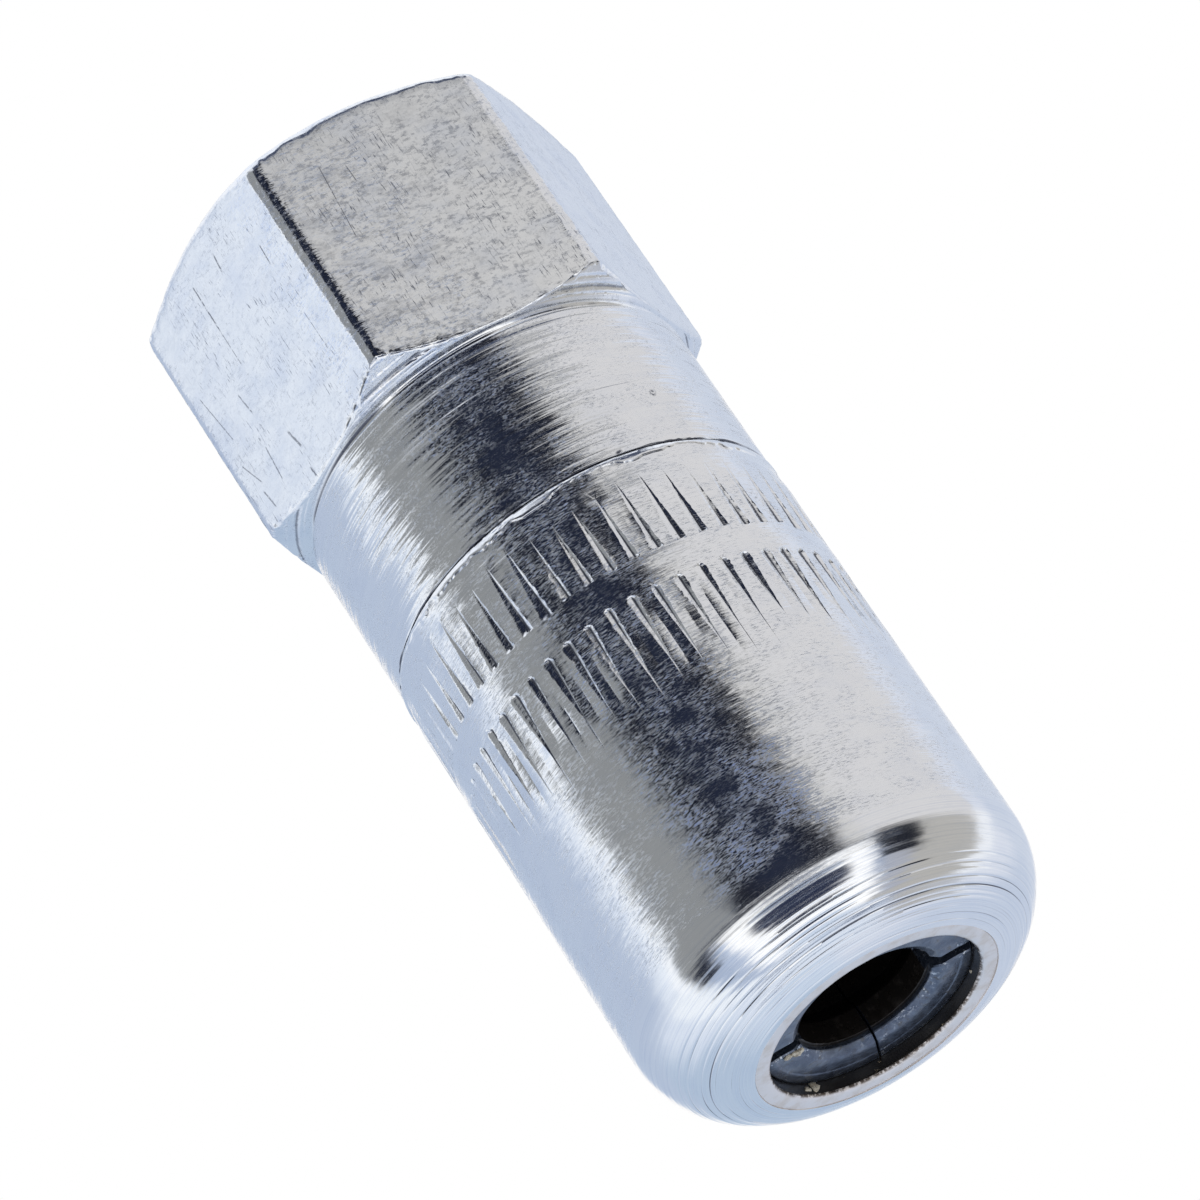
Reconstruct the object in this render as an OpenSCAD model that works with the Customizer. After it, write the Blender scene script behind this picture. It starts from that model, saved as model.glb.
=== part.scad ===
// Four-jaw hydraulic coupler for greasing.
// The body stands on its hex end, at z = 0, and the nose points up the Z axis.
// The azimuth is counted from the X axis, and a flat of the hex faces the -Y side.

/* [Body] */
// Width of the spanner hex across its flats, and the diameter of the sleeve
hex_af = 15; // [14.5:0.1:17]
// Depth of the wear on the corners of the hex
corner_wear = 0.06; // [0.02:0.01:0.12]
// Length of the hex, from the inlet face to the shoulder
hex_len = 10.9; // [10.5:0.1:13]
// Slope of the hex chamfers
hex_chamfer_angle = 30; // [20:1:35]
// Width that the chamfer takes off the inlet face, measured at a flat
face_margin = 0.4; // [0.2:0.05:0.6]
// Width of the groove between the hex and the collar
groove_w = 0.3; // [0.2:0.05:0.5]
// Depth of the groove, measured from the collar
groove_depth = 0.25; // [0.1:0.05:0.4]
// Depth that the collar is turned below the sleeve
collar_relief = 0.025; // [0.01:0.005:0.1]
// Length of the collar with the groove
collar_len = 6.75; // [6.5:0.05:9]

/* [Inlet] */
// Bore of the 1/8 inch inlet thread
inlet_bore_d = 8.74; // [8.5:0.02:8.8]
// Depth of the inlet thread
inlet_depth = 8; // [7.5:0.1:8]
// Width of the countersink at the inlet's mouth
inlet_countersink = 0.6; // [0.4:0.05:0.8]

/* [Check valve] */
// Diameter of the grease passage below the ball
passage_d = 2.5; // [2.2:0.1:2.6]
// Length of that passage
passage_len = 1; // [0.8:0.1:1.2]
// Diameter of the check ball
ball_d = 3.5; // [3.3:0.1:3.6]
// Height that the ball can lift off its seat
ball_lift = 0.8; // [0.6:0.1:0.8]
// Diameter of the valve chamber
chamber_d = 4.6; // [4.4:0.1:4.8]
// Length of the check spring when the valve is shut
check_spring_len = 2.6; // [2.6:0.1:3]
// Wire of the check spring
check_wire_d = 0.36; // [0.3:0.02:0.36]
// Turns of the check spring
check_turns = 3.5; // [3:0.5:3.5]
// Diameter of the drilled retainer disc
retainer_d = 5.96; // [5.6:0.02:6.4]
// Thickness of the retainer disc
retainer_t = 0.8; // [0.6:0.1:1]

/* [Piston] */
// Wall of the spigot round the piston's bore
spigot_wall = 1.75; // [1.6:0.05:1.9]
// Length of the piston's head
piston_head_len = 3.2; // [3:0.1:3.4]
// Ledge of the piston's head that stops against the snap ring
head_ledge = 0.95; // [0.9:0.05:1.1]
// Ledge of the stem that carries the thrust washer
neck_ledge = 0.7; // [0.5:0.05:0.8]
// Diameter of the grease way through the piston
grease_way_d = 1.8; // [1.4:0.1:2]
// Distance that the piston and the jaws can be pushed back
jaw_travel = 2; // [1.8:0.05:2.1]
// Section of the piston's O-ring
o_ring_section = 1; // [0.8:0.05:1]
// Thickness of the back-up ring
backup_t = 0.55; // [0.4:0.05:0.7]
// Wire of the main spring
main_wire_d = 0.75; // [0.6:0.05:0.8]
// Turns of the main spring
main_turns = 4.5; // [4:0.5:4.5]
// Thickness of the main spring's washer
spring_washer_t = 0.5; // [0.4:0.05:0.6]
// Thickness of the snap ring in the spigot
snap_ring_t = 0.7; // [0.6:0.05:0.8]
// Depth of the snap ring's groove in the spigot
snap_groove_depth = 0.5; // [0.4:0.05:0.6]
// Wall of the spigot in front of the snap ring
spigot_lip = 0.7; // [0.6:0.05:0.9]

/* [Sleeve] */
// Wall of the sleeve round the spigot
sleeve_wall = 1.5; // [1.4:0.05:1.6]
// Growth of the sleeve's diameter over the knurl
sleeve_swell = 0.1; // [0:0.02:0.16]
// Length of the sleeve
sleeve_len = 19.45; // [19.4:0.05:21]
// Advance of the sleeve in one turn
thread_pitch = 1; // [0.75:0.25:1]
// Radius of the rounded nose
nose_r = 3.4; // [3:0.1:3.5]
// Diameter of the mouth
mouth_d = 8; // [7.8:0.1:8.2]
// Width of the bare ring land round the mouth
land_w = 0.62; // [0.4:0.02:0.7]
// Depth of the ring land below the nose
land_step = 0.08; // [0.06:0.01:0.1]
// Slope of the cone that closes the jaws
cone_angle = 22; // [20:1:23]
// Section of the sleeve's O-ring
sleeve_ring_section = 0.76; // [0.66:0.02:0.8]

/* [Knurl] */
// Flutes round the sleeve in each band
flutes = 54; // [45:1:60]
// Azimuth of the first flute
flute_phase = 287.8; // [280:0.1:300]
// Width of a flute at its wide end
flute_w = 0.42; // [0.3:0.02:0.5]
// Depth of a flute at its wide end
flute_depth = 0.16; // [0.1:0.02:0.2]
// Distance from the seam to the points of the rear band
rear_band_start = 1.05; // [1:0.05:1.4]
// Length of the rear band
rear_band_len = 2.85; // [2.4:0.05:3]
// Plain stretch between the two bands
band_gap = 1.25; // [1.1:0.1:1.6]
// Length of the front band
front_band_len = 2.8; // [2.4:0.05:3]

/* [Jaws] */
// Hole that the four jaws close to
jaw_hole_d = 5.1; // [4.9:0.05:5.3]
// Depth of the jaws' faces below the ring land
jaw_recess = 0.6; // [0.5:0.05:0.7]
// Room between the open jaws and the sleeve's bore
jaw_room = 0.19; // [0.15:0.01:0.3]
// Length of the jaws
jaw_len = 7.1; // [7:0.05:7.3]
// Length of the gripping lip at the front
jaw_lip_len = 1.3; // [1.1:0.05:1.5]
// Height of the step inside the jaws' hole
jaw_step = 0.1; // [0.05:0.01:0.15]
// Diameter of the nipple's head
nipple_head_d = 6.5; // [6.4:0.05:6.6]
// Room between the nipple's head and the closed jaws
head_room = 0.1; // [0.05:0.01:0.2]
// Azimuth of the wide slit
jaw_phase = 9.3; // [0:0.1:90]
// Width of the two wide slits
wide_slit = 0.56; // [0.4:0.02:0.7]
// Width of the two closed slits
tight_slit = 0.08; // [0.04:0.02:0.2]
// Radius of the corners where a wide slit meets the hole
slit_corner_r = 0.35; // [0.2:0.05:0.4]
// Wire of the spring ring that spreads the jaws
jaw_wire_d = 0.8; // [0.6:0.05:0.8]
// Height of that ring above the jaws' feet
jaw_ring_height = 1.4; // [1.2:0.05:1.6]
// Depth of the ring's middle in the wall of the jaws' cavity
jaw_ring_sink = 0.15; // [0.1:0.05:0.2]
// Thickness of the thrust washer under the jaws
washer_t = 0.8; // [0.6:0.05:0.9]
// Room between the thrust washer and the sleeve's bore
washer_room = 0.4; // [0.3:0.05:0.6]

/* [Seal] */
// Room between the rubber seal and the closed jaws
seal_room = 0.4; // [0.35:0.05:0.5]
// Height of the rubber seal
seal_len = 3.4; // [3:0.1:3.8]
// Width of the cup in the seal's front
seal_cup_d = 4.6; // [4.2:0.1:4.8]
// Depth of that cup
seal_cup_depth = 0.9; // [0.6:0.1:1.1]

/* [Fits] */
// Radial clearance of a running fit
run_fit = 0.05; // [0.03:0.01:0.08]
// Radial clearance of a piece that sits still in its seat
seat_fit = 0.02; // [0.01:0.005:0.03]
// Clearance between the jaws and the cone
cone_fit = 0.03; // [0.02:0.01:0.05]
// Gap at the seam between the collar and the sleeve
seam_gap = 0.05; // [0.03:0.01:0.1]
// Room left in front of a piece at the end of its travel
stop_gap = 0.2; // [0.1:0.05:0.3]

/* [Hidden] */
eps = 0.01;
$fn = 96;

// Heights of the body
collar_z = hex_len + groove_w;
seam_z = hex_len + collar_len;
sleeve_z = seam_z + seam_gap;
nose_z = sleeve_z + sleeve_len;
land_z = nose_z - land_step;

// Heights of the jaws and what carries them, from the mouth down
jaw_front_z = land_z - jaw_recess;
jaw_rear_z = jaw_front_z - jaw_len;
washer_z = jaw_rear_z - washer_t;
spigot_top_z = washer_z - jaw_travel - stop_gap;
snap_z = spigot_top_z - spigot_lip - snap_ring_t;
piston_front_z = snap_z - seam_gap;
piston_rear_z = piston_front_z - piston_head_len;

// Heights of the check valve, from the inlet up
seat_z = inlet_depth + passage_len;
seat_apex_z = seat_z - passage_d / 2;
ball_z = seat_apex_z + ball_d / 2 * sqrt(2) + seat_fit;
check_spring_r = 0.36 * ball_d;
check_touch_r = ball_d / 2 + check_wire_d / 2 + seat_fit;
check_spring_z = ball_z + sqrt(pow(check_touch_r, 2) - pow(check_spring_r, 2)) - check_wire_d / 2;
retainer_z = check_spring_z + check_spring_len;
floor_z = retainer_z + retainer_t;
main_spring_z = floor_z + spring_washer_t;
main_spring_len = piston_rear_z - main_spring_z;

// Radii
sleeve_d = hex_af;
hex_corner_r = hex_af / cos(30) / 2 - corner_wear;
hex_face_r = hex_af / 2 - face_margin;
collar_r = sleeve_d / 2 - collar_relief;
thread_r = sleeve_d / 2 - sleeve_wall;
spigot_r = thread_r - run_fit;
piston_bore_r = spigot_r - spigot_wall;
piston_r = piston_bore_r - run_fit;
stem_r = piston_r - head_ledge;
neck_r = stem_r - neck_ledge;
snap_inner_r = stem_r + 4 * run_fit;
main_spring_r = piston_bore_r - 4 * run_fit - main_wire_d / 2;
mouth_r = mouth_d / 2;
land_r = mouth_r + land_w;
barrel_r = (sleeve_d + sleeve_swell) / 2;
cone_z = jaw_front_z - (thread_r - mouth_r) / tan(cone_angle);
jaw_spread = jaw_travel * tan(cone_angle);
jaw_r = thread_r - jaw_spread - jaw_room;
jaw_cone_z = jaw_front_z - (jaw_r + cone_fit - mouth_r) / tan(cone_angle);
cavity_r = nipple_head_d / 2 + head_room;
jaw_ring_r = cavity_r + jaw_ring_sink;
jaw_ring_z = jaw_rear_z + jaw_ring_height;
seal_r = cavity_r - seal_room;
stub_r = seal_r / 2;
stub_len = seal_len / 2;

// O-ring grooves
o_ring_groove_r = piston_bore_r - seat_fit - o_ring_section;
o_ring_z = piston_front_z - piston_head_len / 2;
sleeve_ring_r = spigot_r + seat_fit + sleeve_ring_section / 2;
sleeve_ring_z = sleeve_z + 1;

// Points of an arc, for a turned outline
function arc(cx, cy, r, from, to, n) =
    [for (i = [0:n]) [cx + r * cos(from + (to - from) * i / n), cy + r * sin(from + (to - from) * i / n)]];

// Ring with a square section
module ring(inner_r, outer_r, z, h) {
    translate([0, 0, z])
        difference() {
            cylinder(r = outer_r, h = h);
            translate([0, 0, -eps]) cylinder(r = inner_r, h = h + 2 * eps);
        }
}

// Ring with a round section, open by gap degrees
module wire_ring(mid_r, section, z, gap = 0) {
    translate([0, 0, z])
        rotate([0, 0, gap / 2])
            rotate_extrude(angle = 360 - gap)
                translate([mid_r, 0]) circle(d = section, $fn = 32);
}

// Coil spring with closed ends, from z to z + len
module coil(mid_r, wire, z, len, turns) {
    sides = 8;
    steps = 20;
    rise = len - wire - 2 * eps;
    n = round(turns * steps);
    // The first and last half turn lie flat
    function lift(i) = rise * min(1, max(0, (i / steps - 0.5) / (turns - 1)));
    function ring_points(i) = [
        for (k = [0:sides - 1])
            let (a = 360 * i / steps, b = 360 * k / sides, r = mid_r + wire / 2 * cos(b))
                [r * cos(a), r * sin(a), z + eps + wire / 2 + lift(i) + wire / 2 * sin(b)]
    ];
    points = [for (i = [0:n]) each ring_points(i)];
    walls = [
        for (i = [0:n - 1], k = [0:sides - 1])
            let (a = i * sides + k, b = i * sides + (k + 1) % sides)
                each [[a, b, b + sides], [a, b + sides, a + sides]]
    ];
    caps = [
        [for (k = [sides - 1:-1:0]) k],
        [for (k = [0:sides - 1]) n * sides + k]
    ];
    polyhedron(points = points, faces = concat(walls, caps), convexity = 6);
}

// Turned outline that gives the hex its 30 degree chamfers
module hex_envelope() {
    slope = tan(hex_chamfer_angle);
    rear_drop = (hex_corner_r - hex_face_r) * slope;
    front_drop = (hex_corner_r - hex_af / 2) * slope;
    rotate_extrude()
        polygon([
            [0, 0],
            [hex_face_r, 0],
            [hex_corner_r, rear_drop],
            [hex_corner_r, hex_len - front_drop],
            [hex_af / 2, hex_len],
            [0, hex_len]
        ]);
}

// Body with the hex, the collar and the spigot that the sleeve screws on to
module hex_body() {
    color([0.72, 0.78, 0.86])
        difference() {
            union() {
                intersection() {
                    cylinder(d = hex_af / cos(30), h = hex_len, $fn = 6);
                    hex_envelope();
                }
                collar();
                translate([0, 0, seam_z - eps]) cylinder(r = spigot_r, h = spigot_top_z - seam_z - 0.4 + eps);
                translate([0, 0, spigot_top_z - 0.4])
                    cylinder(r1 = spigot_r, r2 = spigot_r - 0.4, h = 0.4);
            }
            inlet_cut();
            valve_cut();
            piston_cut();
        }
}

// Round collar between the hex and the seam, with its groove
module collar() {
    edge = 0.06;
    r = collar_r;
    rotate_extrude()
        polygon([
            [0, hex_len - eps],
            [r - groove_depth, hex_len - eps],
            [r - groove_depth, collar_z],
            [r - edge, collar_z],
            [r, collar_z + edge],
            [r, seam_z - edge],
            [r - edge, seam_z],
            [0, seam_z]
        ]);
}

// Threaded inlet with its countersink
module inlet_cut() {
    r = inlet_bore_d / 2;
    translate([0, 0, -1]) cylinder(r = r, h = inlet_depth + 1);
    translate([0, 0, -eps])
        cylinder(r1 = r + inlet_countersink + eps, r2 = r, h = inlet_countersink + eps);
}

// Passage, ball seat, valve chamber and the retainer's counterbore
module valve_cut() {
    seat_h = (chamber_d - passage_d) / 2;
    translate([0, 0, inlet_depth - eps]) cylinder(d = passage_d, h = passage_len + 2 * eps);
    translate([0, 0, seat_z]) cylinder(d1 = passage_d, d2 = chamber_d, h = seat_h);
    translate([0, 0, seat_z + seat_h - eps]) cylinder(d = chamber_d, h = retainer_z - seat_z - seat_h + 2 * eps);
    translate([0, 0, retainer_z]) cylinder(r = retainer_d / 2 + seat_fit, h = retainer_t + eps);
}

// Bore of the piston with the snap ring's groove
module piston_cut() {
    translate([0, 0, floor_z]) cylinder(r = piston_bore_r, h = spigot_top_z - floor_z + 1);
    translate([0, 0, snap_z - seat_fit])
        cylinder(r = piston_bore_r + snap_groove_depth, h = snap_ring_t + 2 * seat_fit);
}

// Ball of the check valve
module check_ball() {
    color([0.80, 0.81, 0.83])
        translate([0, 0, ball_z]) sphere(d = ball_d);
}

// Light spring that holds the ball on its seat
module check_spring() {
    color([0.66, 0.67, 0.69])
        coil(check_spring_r, check_wire_d, check_spring_z, check_spring_len, check_turns);
}

// Drilled disc that the check spring bears on
module check_retainer() {
    hole_d = 0.9;
    hole_ring_r = retainer_d / 2 * 0.58;
    color([0.70, 0.71, 0.72])
        difference() {
            translate([0, 0, retainer_z]) cylinder(d = retainer_d, h = retainer_t);
            translate([0, 0, retainer_z - 1]) cylinder(d = 1.4 * hole_d, h = retainer_t + 2);
            for (a = [45:90:315])
                rotate([0, 0, a])
                    translate([hole_ring_r, 0, retainer_z - 1]) cylinder(d = hole_d, h = retainer_t + 2);
        }
}

// Washer that the main spring stands on
module spring_washer() {
    color([0.62, 0.63, 0.65])
        ring(main_spring_r - main_wire_d, piston_bore_r - 2 * run_fit, floor_z, spring_washer_t);
}

// Spring that pushes the piston and the jaws forwards
module main_spring() {
    color([0.55, 0.56, 0.58])
        coil(main_spring_r, main_wire_d, main_spring_z, main_spring_len, main_turns);
}

// Piston with its seal groove, its stem and the stub that the rubber seal sits on
module seal_piston() {
    groove_half = (o_ring_section + backup_t) / 2 + seat_fit;
    color([0.58, 0.59, 0.61])
        difference() {
            union() {
                translate([0, 0, piston_rear_z]) cylinder(r = piston_r, h = piston_head_len);
                translate([0, 0, piston_front_z - eps]) cylinder(r = stem_r, h = washer_z - piston_front_z + eps);
                translate([0, 0, washer_z - eps]) cylinder(r = neck_r, h = washer_t + eps);
                translate([0, 0, jaw_rear_z - eps]) cylinder(r = stub_r, h = stub_len + eps);
            }
            translate([0, 0, piston_rear_z - 1]) cylinder(d = grease_way_d, h = jaw_front_z - piston_rear_z);
            ring(o_ring_groove_r - seat_fit, piston_r + 1, o_ring_z - groove_half, 2 * groove_half);
        }
}

// Pressure seal of the piston
module piston_o_ring() {
    color([0.10, 0.10, 0.11])
        wire_ring(
            o_ring_groove_r + o_ring_section / 2,
            o_ring_section,
            o_ring_z - backup_t / 2
        );
}

// Plastic ring that backs the O-ring on the side away from the pressure
module backup_ring() {
    color([0.90, 0.89, 0.84])
        ring(
            o_ring_groove_r,
            piston_bore_r - seat_fit,
            o_ring_z + (o_ring_section - backup_t) / 2,
            backup_t
        );
}

// Open ring in the spigot that the piston's head stops against
module piston_snap_ring() {
    color([0.35, 0.36, 0.38])
        translate([0, 0, snap_z])
            rotate([0, 0, 120])
                rotate_extrude(angle = 318)
                    translate([snap_inner_r, 0])
                        square([piston_bore_r + snap_groove_depth - seat_fit - snap_inner_r, snap_ring_t]);
}

// Thrust washer that the jaws' feet slide on
module jaw_washer() {
    color([0.60, 0.61, 0.63])
        ring(neck_r + seat_fit, thread_r - washer_room, washer_z, washer_t);
}

// Rubber seal with the cup that meets the nipple
module nose_seal() {
    top_z = jaw_rear_z + seal_len;
    color([0.09, 0.09, 0.10])
        difference() {
            translate([0, 0, jaw_rear_z]) cylinder(r = seal_r, h = seal_len);
            translate([0, 0, jaw_rear_z - 1]) cylinder(r = stub_r + seat_fit, h = stub_len + 1 + seat_fit);
            translate([0, 0, jaw_rear_z]) cylinder(d = grease_way_d, h = seal_len + 1);
            translate([0, 0, top_z - seal_cup_depth])
                cylinder(d1 = grease_way_d, d2 = seal_cup_d, h = seal_cup_depth + eps);
        }
}

// Open ring in the jaws' groove that pushes them apart
module jaw_spring() {
    color([0.45, 0.46, 0.48])
        rotate([0, 0, jaw_phase])
            wire_ring(jaw_ring_r, jaw_wire_d, jaw_ring_z, 24);
}

// Turned outline of the closed collet, before it is slit into four jaws
module collet() {
    hole_r = jaw_hole_d / 2;
    front_r = mouth_r - cone_fit;
    groove_half = jaw_wire_d / 2 + run_fit;
    groove_r = jaw_ring_r + groove_half;
    lip_z = jaw_front_z - jaw_lip_len;
    edge = 0.12;
    rotate_extrude()
        polygon([
            [cavity_r, jaw_rear_z],
            [jaw_r - 0.3, jaw_rear_z],
            [jaw_r, jaw_rear_z + 0.3],
            [jaw_r, jaw_cone_z],
            [front_r, jaw_front_z],
            [hole_r + edge, jaw_front_z],
            [hole_r, jaw_front_z - edge],
            [hole_r, jaw_front_z - 0.4],
            [hole_r - jaw_step, jaw_front_z - 0.4],
            [hole_r - jaw_step, lip_z],
            [cavity_r, lip_z - (cavity_r - hole_r + jaw_step)],
            [cavity_r, jaw_ring_z + groove_half],
            [groove_r, jaw_ring_z + groove_half],
            [groove_r, jaw_ring_z - groove_half],
            [cavity_r, jaw_ring_z - groove_half]
        ]);
}

// Rounded corner where the wide slit meets the hole, cut from the jaw beside it
module slit_corner(hole_r) {
    r = slit_corner_r;
    y = wide_slit / 2 + r;
    x = sqrt(pow(hole_r + r, 2) - pow(y, 2));
    depth = jaw_lip_len + cavity_r - hole_r + 0.1;
    translate([0, 0, jaw_front_z - depth])
        difference() {
            linear_extrude(depth + 1)
                polygon([
                    [hole_r * 0.9, 0],
                    [x, 0],
                    [x, y],
                    [hole_r * x / (hole_r + r), hole_r * y / (hole_r + r)],
                    [hole_r * 0.9, y * 0.9]
                ]);
            translate([x, y, -eps]) cylinder(r = r, h = depth + 2);
        }
}

// One jaw, in the quadrant where x has the sign sx and y the sign sy.
// The wide slits lie along the local X axis and the closed ones along Y.
module jaw(sx, sy) {
    reach = 2 * jaw_r;
    color([0.27, 0.30, 0.35])
        rotate([0, 0, jaw_phase])
            mirror([sx < 0 ? 1 : 0, 0, 0])
                mirror([0, sy < 0 ? 1 : 0, 0])
                    difference() {
                        intersection() {
                            collet();
                            translate([tight_slit / 2, wide_slit / 2, jaw_rear_z - 1])
                                cube([reach, reach, jaw_len + 2]);
                        }
                        slit_corner(jaw_hole_d / 2 - jaw_step);
                    }
}

module jaw_1() {
    jaw(1, 1);
}

module jaw_2() {
    jaw(-1, 1);
}

module jaw_3() {
    jaw(-1, -1);
}

module jaw_4() {
    jaw(1, -1);
}

// Ring between the sleeve and the spigot
module sleeve_o_ring() {
    color([0.10, 0.10, 0.11])
        wire_ring(sleeve_ring_r, sleeve_ring_section, sleeve_ring_z);
}

// Turned blank of the sleeve, with its bore, cone and mouth
module sleeve_blank() {
    edge = 0.08;
    rear_r = sleeve_d / 2;
    swell_z = sleeve_z + rear_band_start;
    nose_cx = barrel_r - nose_r;
    nose_cz = nose_z - nose_r;
    land_angle = acos((land_r + 0.02 - nose_cx) / nose_r);
    rotate_extrude()
        polygon(concat(
            [
                [thread_r + 0.25, sleeve_z],
                [rear_r - edge, sleeve_z],
                [rear_r, sleeve_z + edge],
                [rear_r, swell_z - 0.4],
                [barrel_r, swell_z + 0.4]
            ],
            arc(nose_cx, nose_cz, nose_r, 0, land_angle, 14),
            [
                [land_r, land_z],
                [mouth_r + 0.05, land_z],
                [mouth_r, land_z - 0.05],
                [mouth_r, jaw_front_z],
                [thread_r, cone_z],
                [thread_r, sleeve_z + 0.25]
            ]
        ));
}

// One flute along +Z from its pointed end: a V cut whose floor slopes down
module flute(len) {
    over = 0.3;
    lead = 0.1;
    half_w = flute_w / 2 * (flute_depth + over) / flute_depth;
    rotate([0, -atan(flute_depth / len), 0])
        translate([0, 0, -lead])
            linear_extrude(len + lead)
                polygon([
                    [0, 0],
                    [flute_depth + over, -half_w],
                    [flute_depth + over, half_w]
                ]);
}

// Band of flutes that point down to z = tip_z and end square above
module rear_band(tip_z, len) {
    for (i = [0:flutes - 1])
        rotate([0, 0, flute_phase + 360 * i / flutes])
            translate([barrel_r, 0, tip_z])
                flute(len);
}

// Band of flutes with a blunt head at head_z that run out to points above
module front_band(head_z, len) {
    head_len = flute_w / 2;
    for (i = [0:flutes - 1])
        rotate([0, 0, flute_phase + 360 * i / flutes])
            translate([barrel_r, 0, head_z]) {
                flute(head_len);
                translate([0, 0, len]) mirror([0, 0, 1]) flute(len - head_len);
            }
}

// Sleeve with the two knurled bands and the groove of its O-ring
module nose_sleeve() {
    groove_half = sleeve_ring_section / 2 + run_fit;
    rear_tip_z = sleeve_z + rear_band_start;
    front_head_z = rear_tip_z + rear_band_len + band_gap;
    color([0.76, 0.81, 0.88])
        difference() {
            sleeve_blank();
            ring(
                thread_r - 0.5,
                sleeve_ring_r + sleeve_ring_section / 2 + seat_fit,
                sleeve_ring_z - groove_half,
                2 * groove_half
            );
            rear_band(rear_tip_z, rear_band_len);
            front_band(front_head_z, front_band_len);
        }
}

hex_body();
check_ball();
check_spring();
check_retainer();
spring_washer();
main_spring();
seal_piston();
piston_o_ring();
backup_ring();
piston_snap_ring();
jaw_washer();
nose_seal();
jaw_spring();
jaw_1();
jaw_2();
jaw_3();
jaw_4();
sleeve_o_ring();
nose_sleeve();
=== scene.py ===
"""Looks of the four-jaw hydraulic coupler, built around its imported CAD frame.

Sizes are in millimetres and turn into metres when a mesh is written.
The coupler's axis is Z, with the hex at the bottom and the mouth at the top.
"""

import logging
import math
from collections.abc import Iterable
from dataclasses import dataclass, field
from enum import Enum
from typing import Any

import bpy
import numpy as np
from mathutils import Matrix, Vector


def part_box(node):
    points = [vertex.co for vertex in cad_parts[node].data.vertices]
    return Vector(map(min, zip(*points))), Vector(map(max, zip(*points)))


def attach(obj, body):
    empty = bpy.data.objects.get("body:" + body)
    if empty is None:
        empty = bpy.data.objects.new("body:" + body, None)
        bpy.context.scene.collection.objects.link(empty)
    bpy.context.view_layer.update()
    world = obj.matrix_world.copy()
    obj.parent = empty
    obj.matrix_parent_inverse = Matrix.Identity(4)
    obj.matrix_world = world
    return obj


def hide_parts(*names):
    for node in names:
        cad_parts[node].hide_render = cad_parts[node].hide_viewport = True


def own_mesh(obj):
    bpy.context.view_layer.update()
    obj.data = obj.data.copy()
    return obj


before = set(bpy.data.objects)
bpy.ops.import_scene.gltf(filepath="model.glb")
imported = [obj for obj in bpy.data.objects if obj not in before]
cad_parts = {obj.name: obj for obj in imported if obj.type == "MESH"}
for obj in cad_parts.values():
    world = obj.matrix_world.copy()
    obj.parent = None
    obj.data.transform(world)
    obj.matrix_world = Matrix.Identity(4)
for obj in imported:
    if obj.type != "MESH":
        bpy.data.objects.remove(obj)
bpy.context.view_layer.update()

LOG = logging.getLogger("coupler")
WHITE = (1.0, 1.0, 1.0, 1.0)

# Lengths: a millimetre in metres, the least edge to divide by, and the way in which a thread runs out
METRE = 0.001
SHORTEST = 1e-4
THREAD_RUN_OUT = 0.3

# Names for types
Pair = tuple[float, float]
Triple = tuple[float, float, float]
Four = tuple[float, float, float, float]
Colour = Four
Finishes = dict[str, bpy.types.Material]
Outline = list[tuple[np.ndarray, np.ndarray]]


def linear(red: float, green: float, blue: float) -> Colour:
    """Turns a screen colour into Blender's linear one.

    Args:
        red: Red from 0 to 255.
        green: Green from 0 to 255.
        blue: Blue from 0 to 255.

    Returns:
        Red, green, blue and an alpha of 1.
    """
    parts = [c / 255 for c in (red, green, blue)]
    parts = [c / 12.92 if c <= 0.04045 else ((c + 0.055) / 1.055) ** 2.4 for c in parts]
    return (*parts, 1.0)


# Shader maths


class Value:
    """An output of a node that takes part in Python arithmetic."""

    def __init__(self, graph: "Graph", socket: bpy.types.NodeSocket) -> None:
        """Keeps the socket and the graph that it belongs to."""
        self.graph = graph
        self.socket = socket

    def __add__(self, other: Any) -> "Value":
        """Adds a value or number."""
        return self.graph.math("ADD", self, other)

    __radd__ = __add__

    def __mul__(self, other: Any) -> "Value":
        """Multiplies by a value or number."""
        return self.graph.math("MULTIPLY", self, other)

    __rmul__ = __mul__

    def __sub__(self, other: Any) -> "Value":
        """Takes a value or number away."""
        return self.graph.math("SUBTRACT", self, other)

    def __rsub__(self, other: Any) -> "Value":
        """Takes this value away from a number."""
        return self.graph.math("SUBTRACT", other, self)

    def __truediv__(self, other: Any) -> "Value":
        """Divides by a value or number."""
        return self.graph.math("DIVIDE", self, other)

    def __pow__(self, other: Any) -> "Value":
        """Raises to a power."""
        return self.graph.math("POWER", self, other)

    def __abs__(self) -> "Value":
        """The size without its sign."""
        return self.graph.math("ABSOLUTE", self)

    def rise(self, low: float, high: float) -> "Value":
        """Goes smoothly from 0 to 1.

        Args:
            low: Where it is 0, which may be the larger of the two.
            high: Where it is 1.

        Returns:
            The value from 0 to 1.
        """
        settings = {"interpolation_type": "SMOOTHSTEP"}
        inputs = {"Value": self, "From Min": low, "From Max": high}
        return self.graph.node("ShaderNodeMapRange", settings, inputs)


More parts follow.
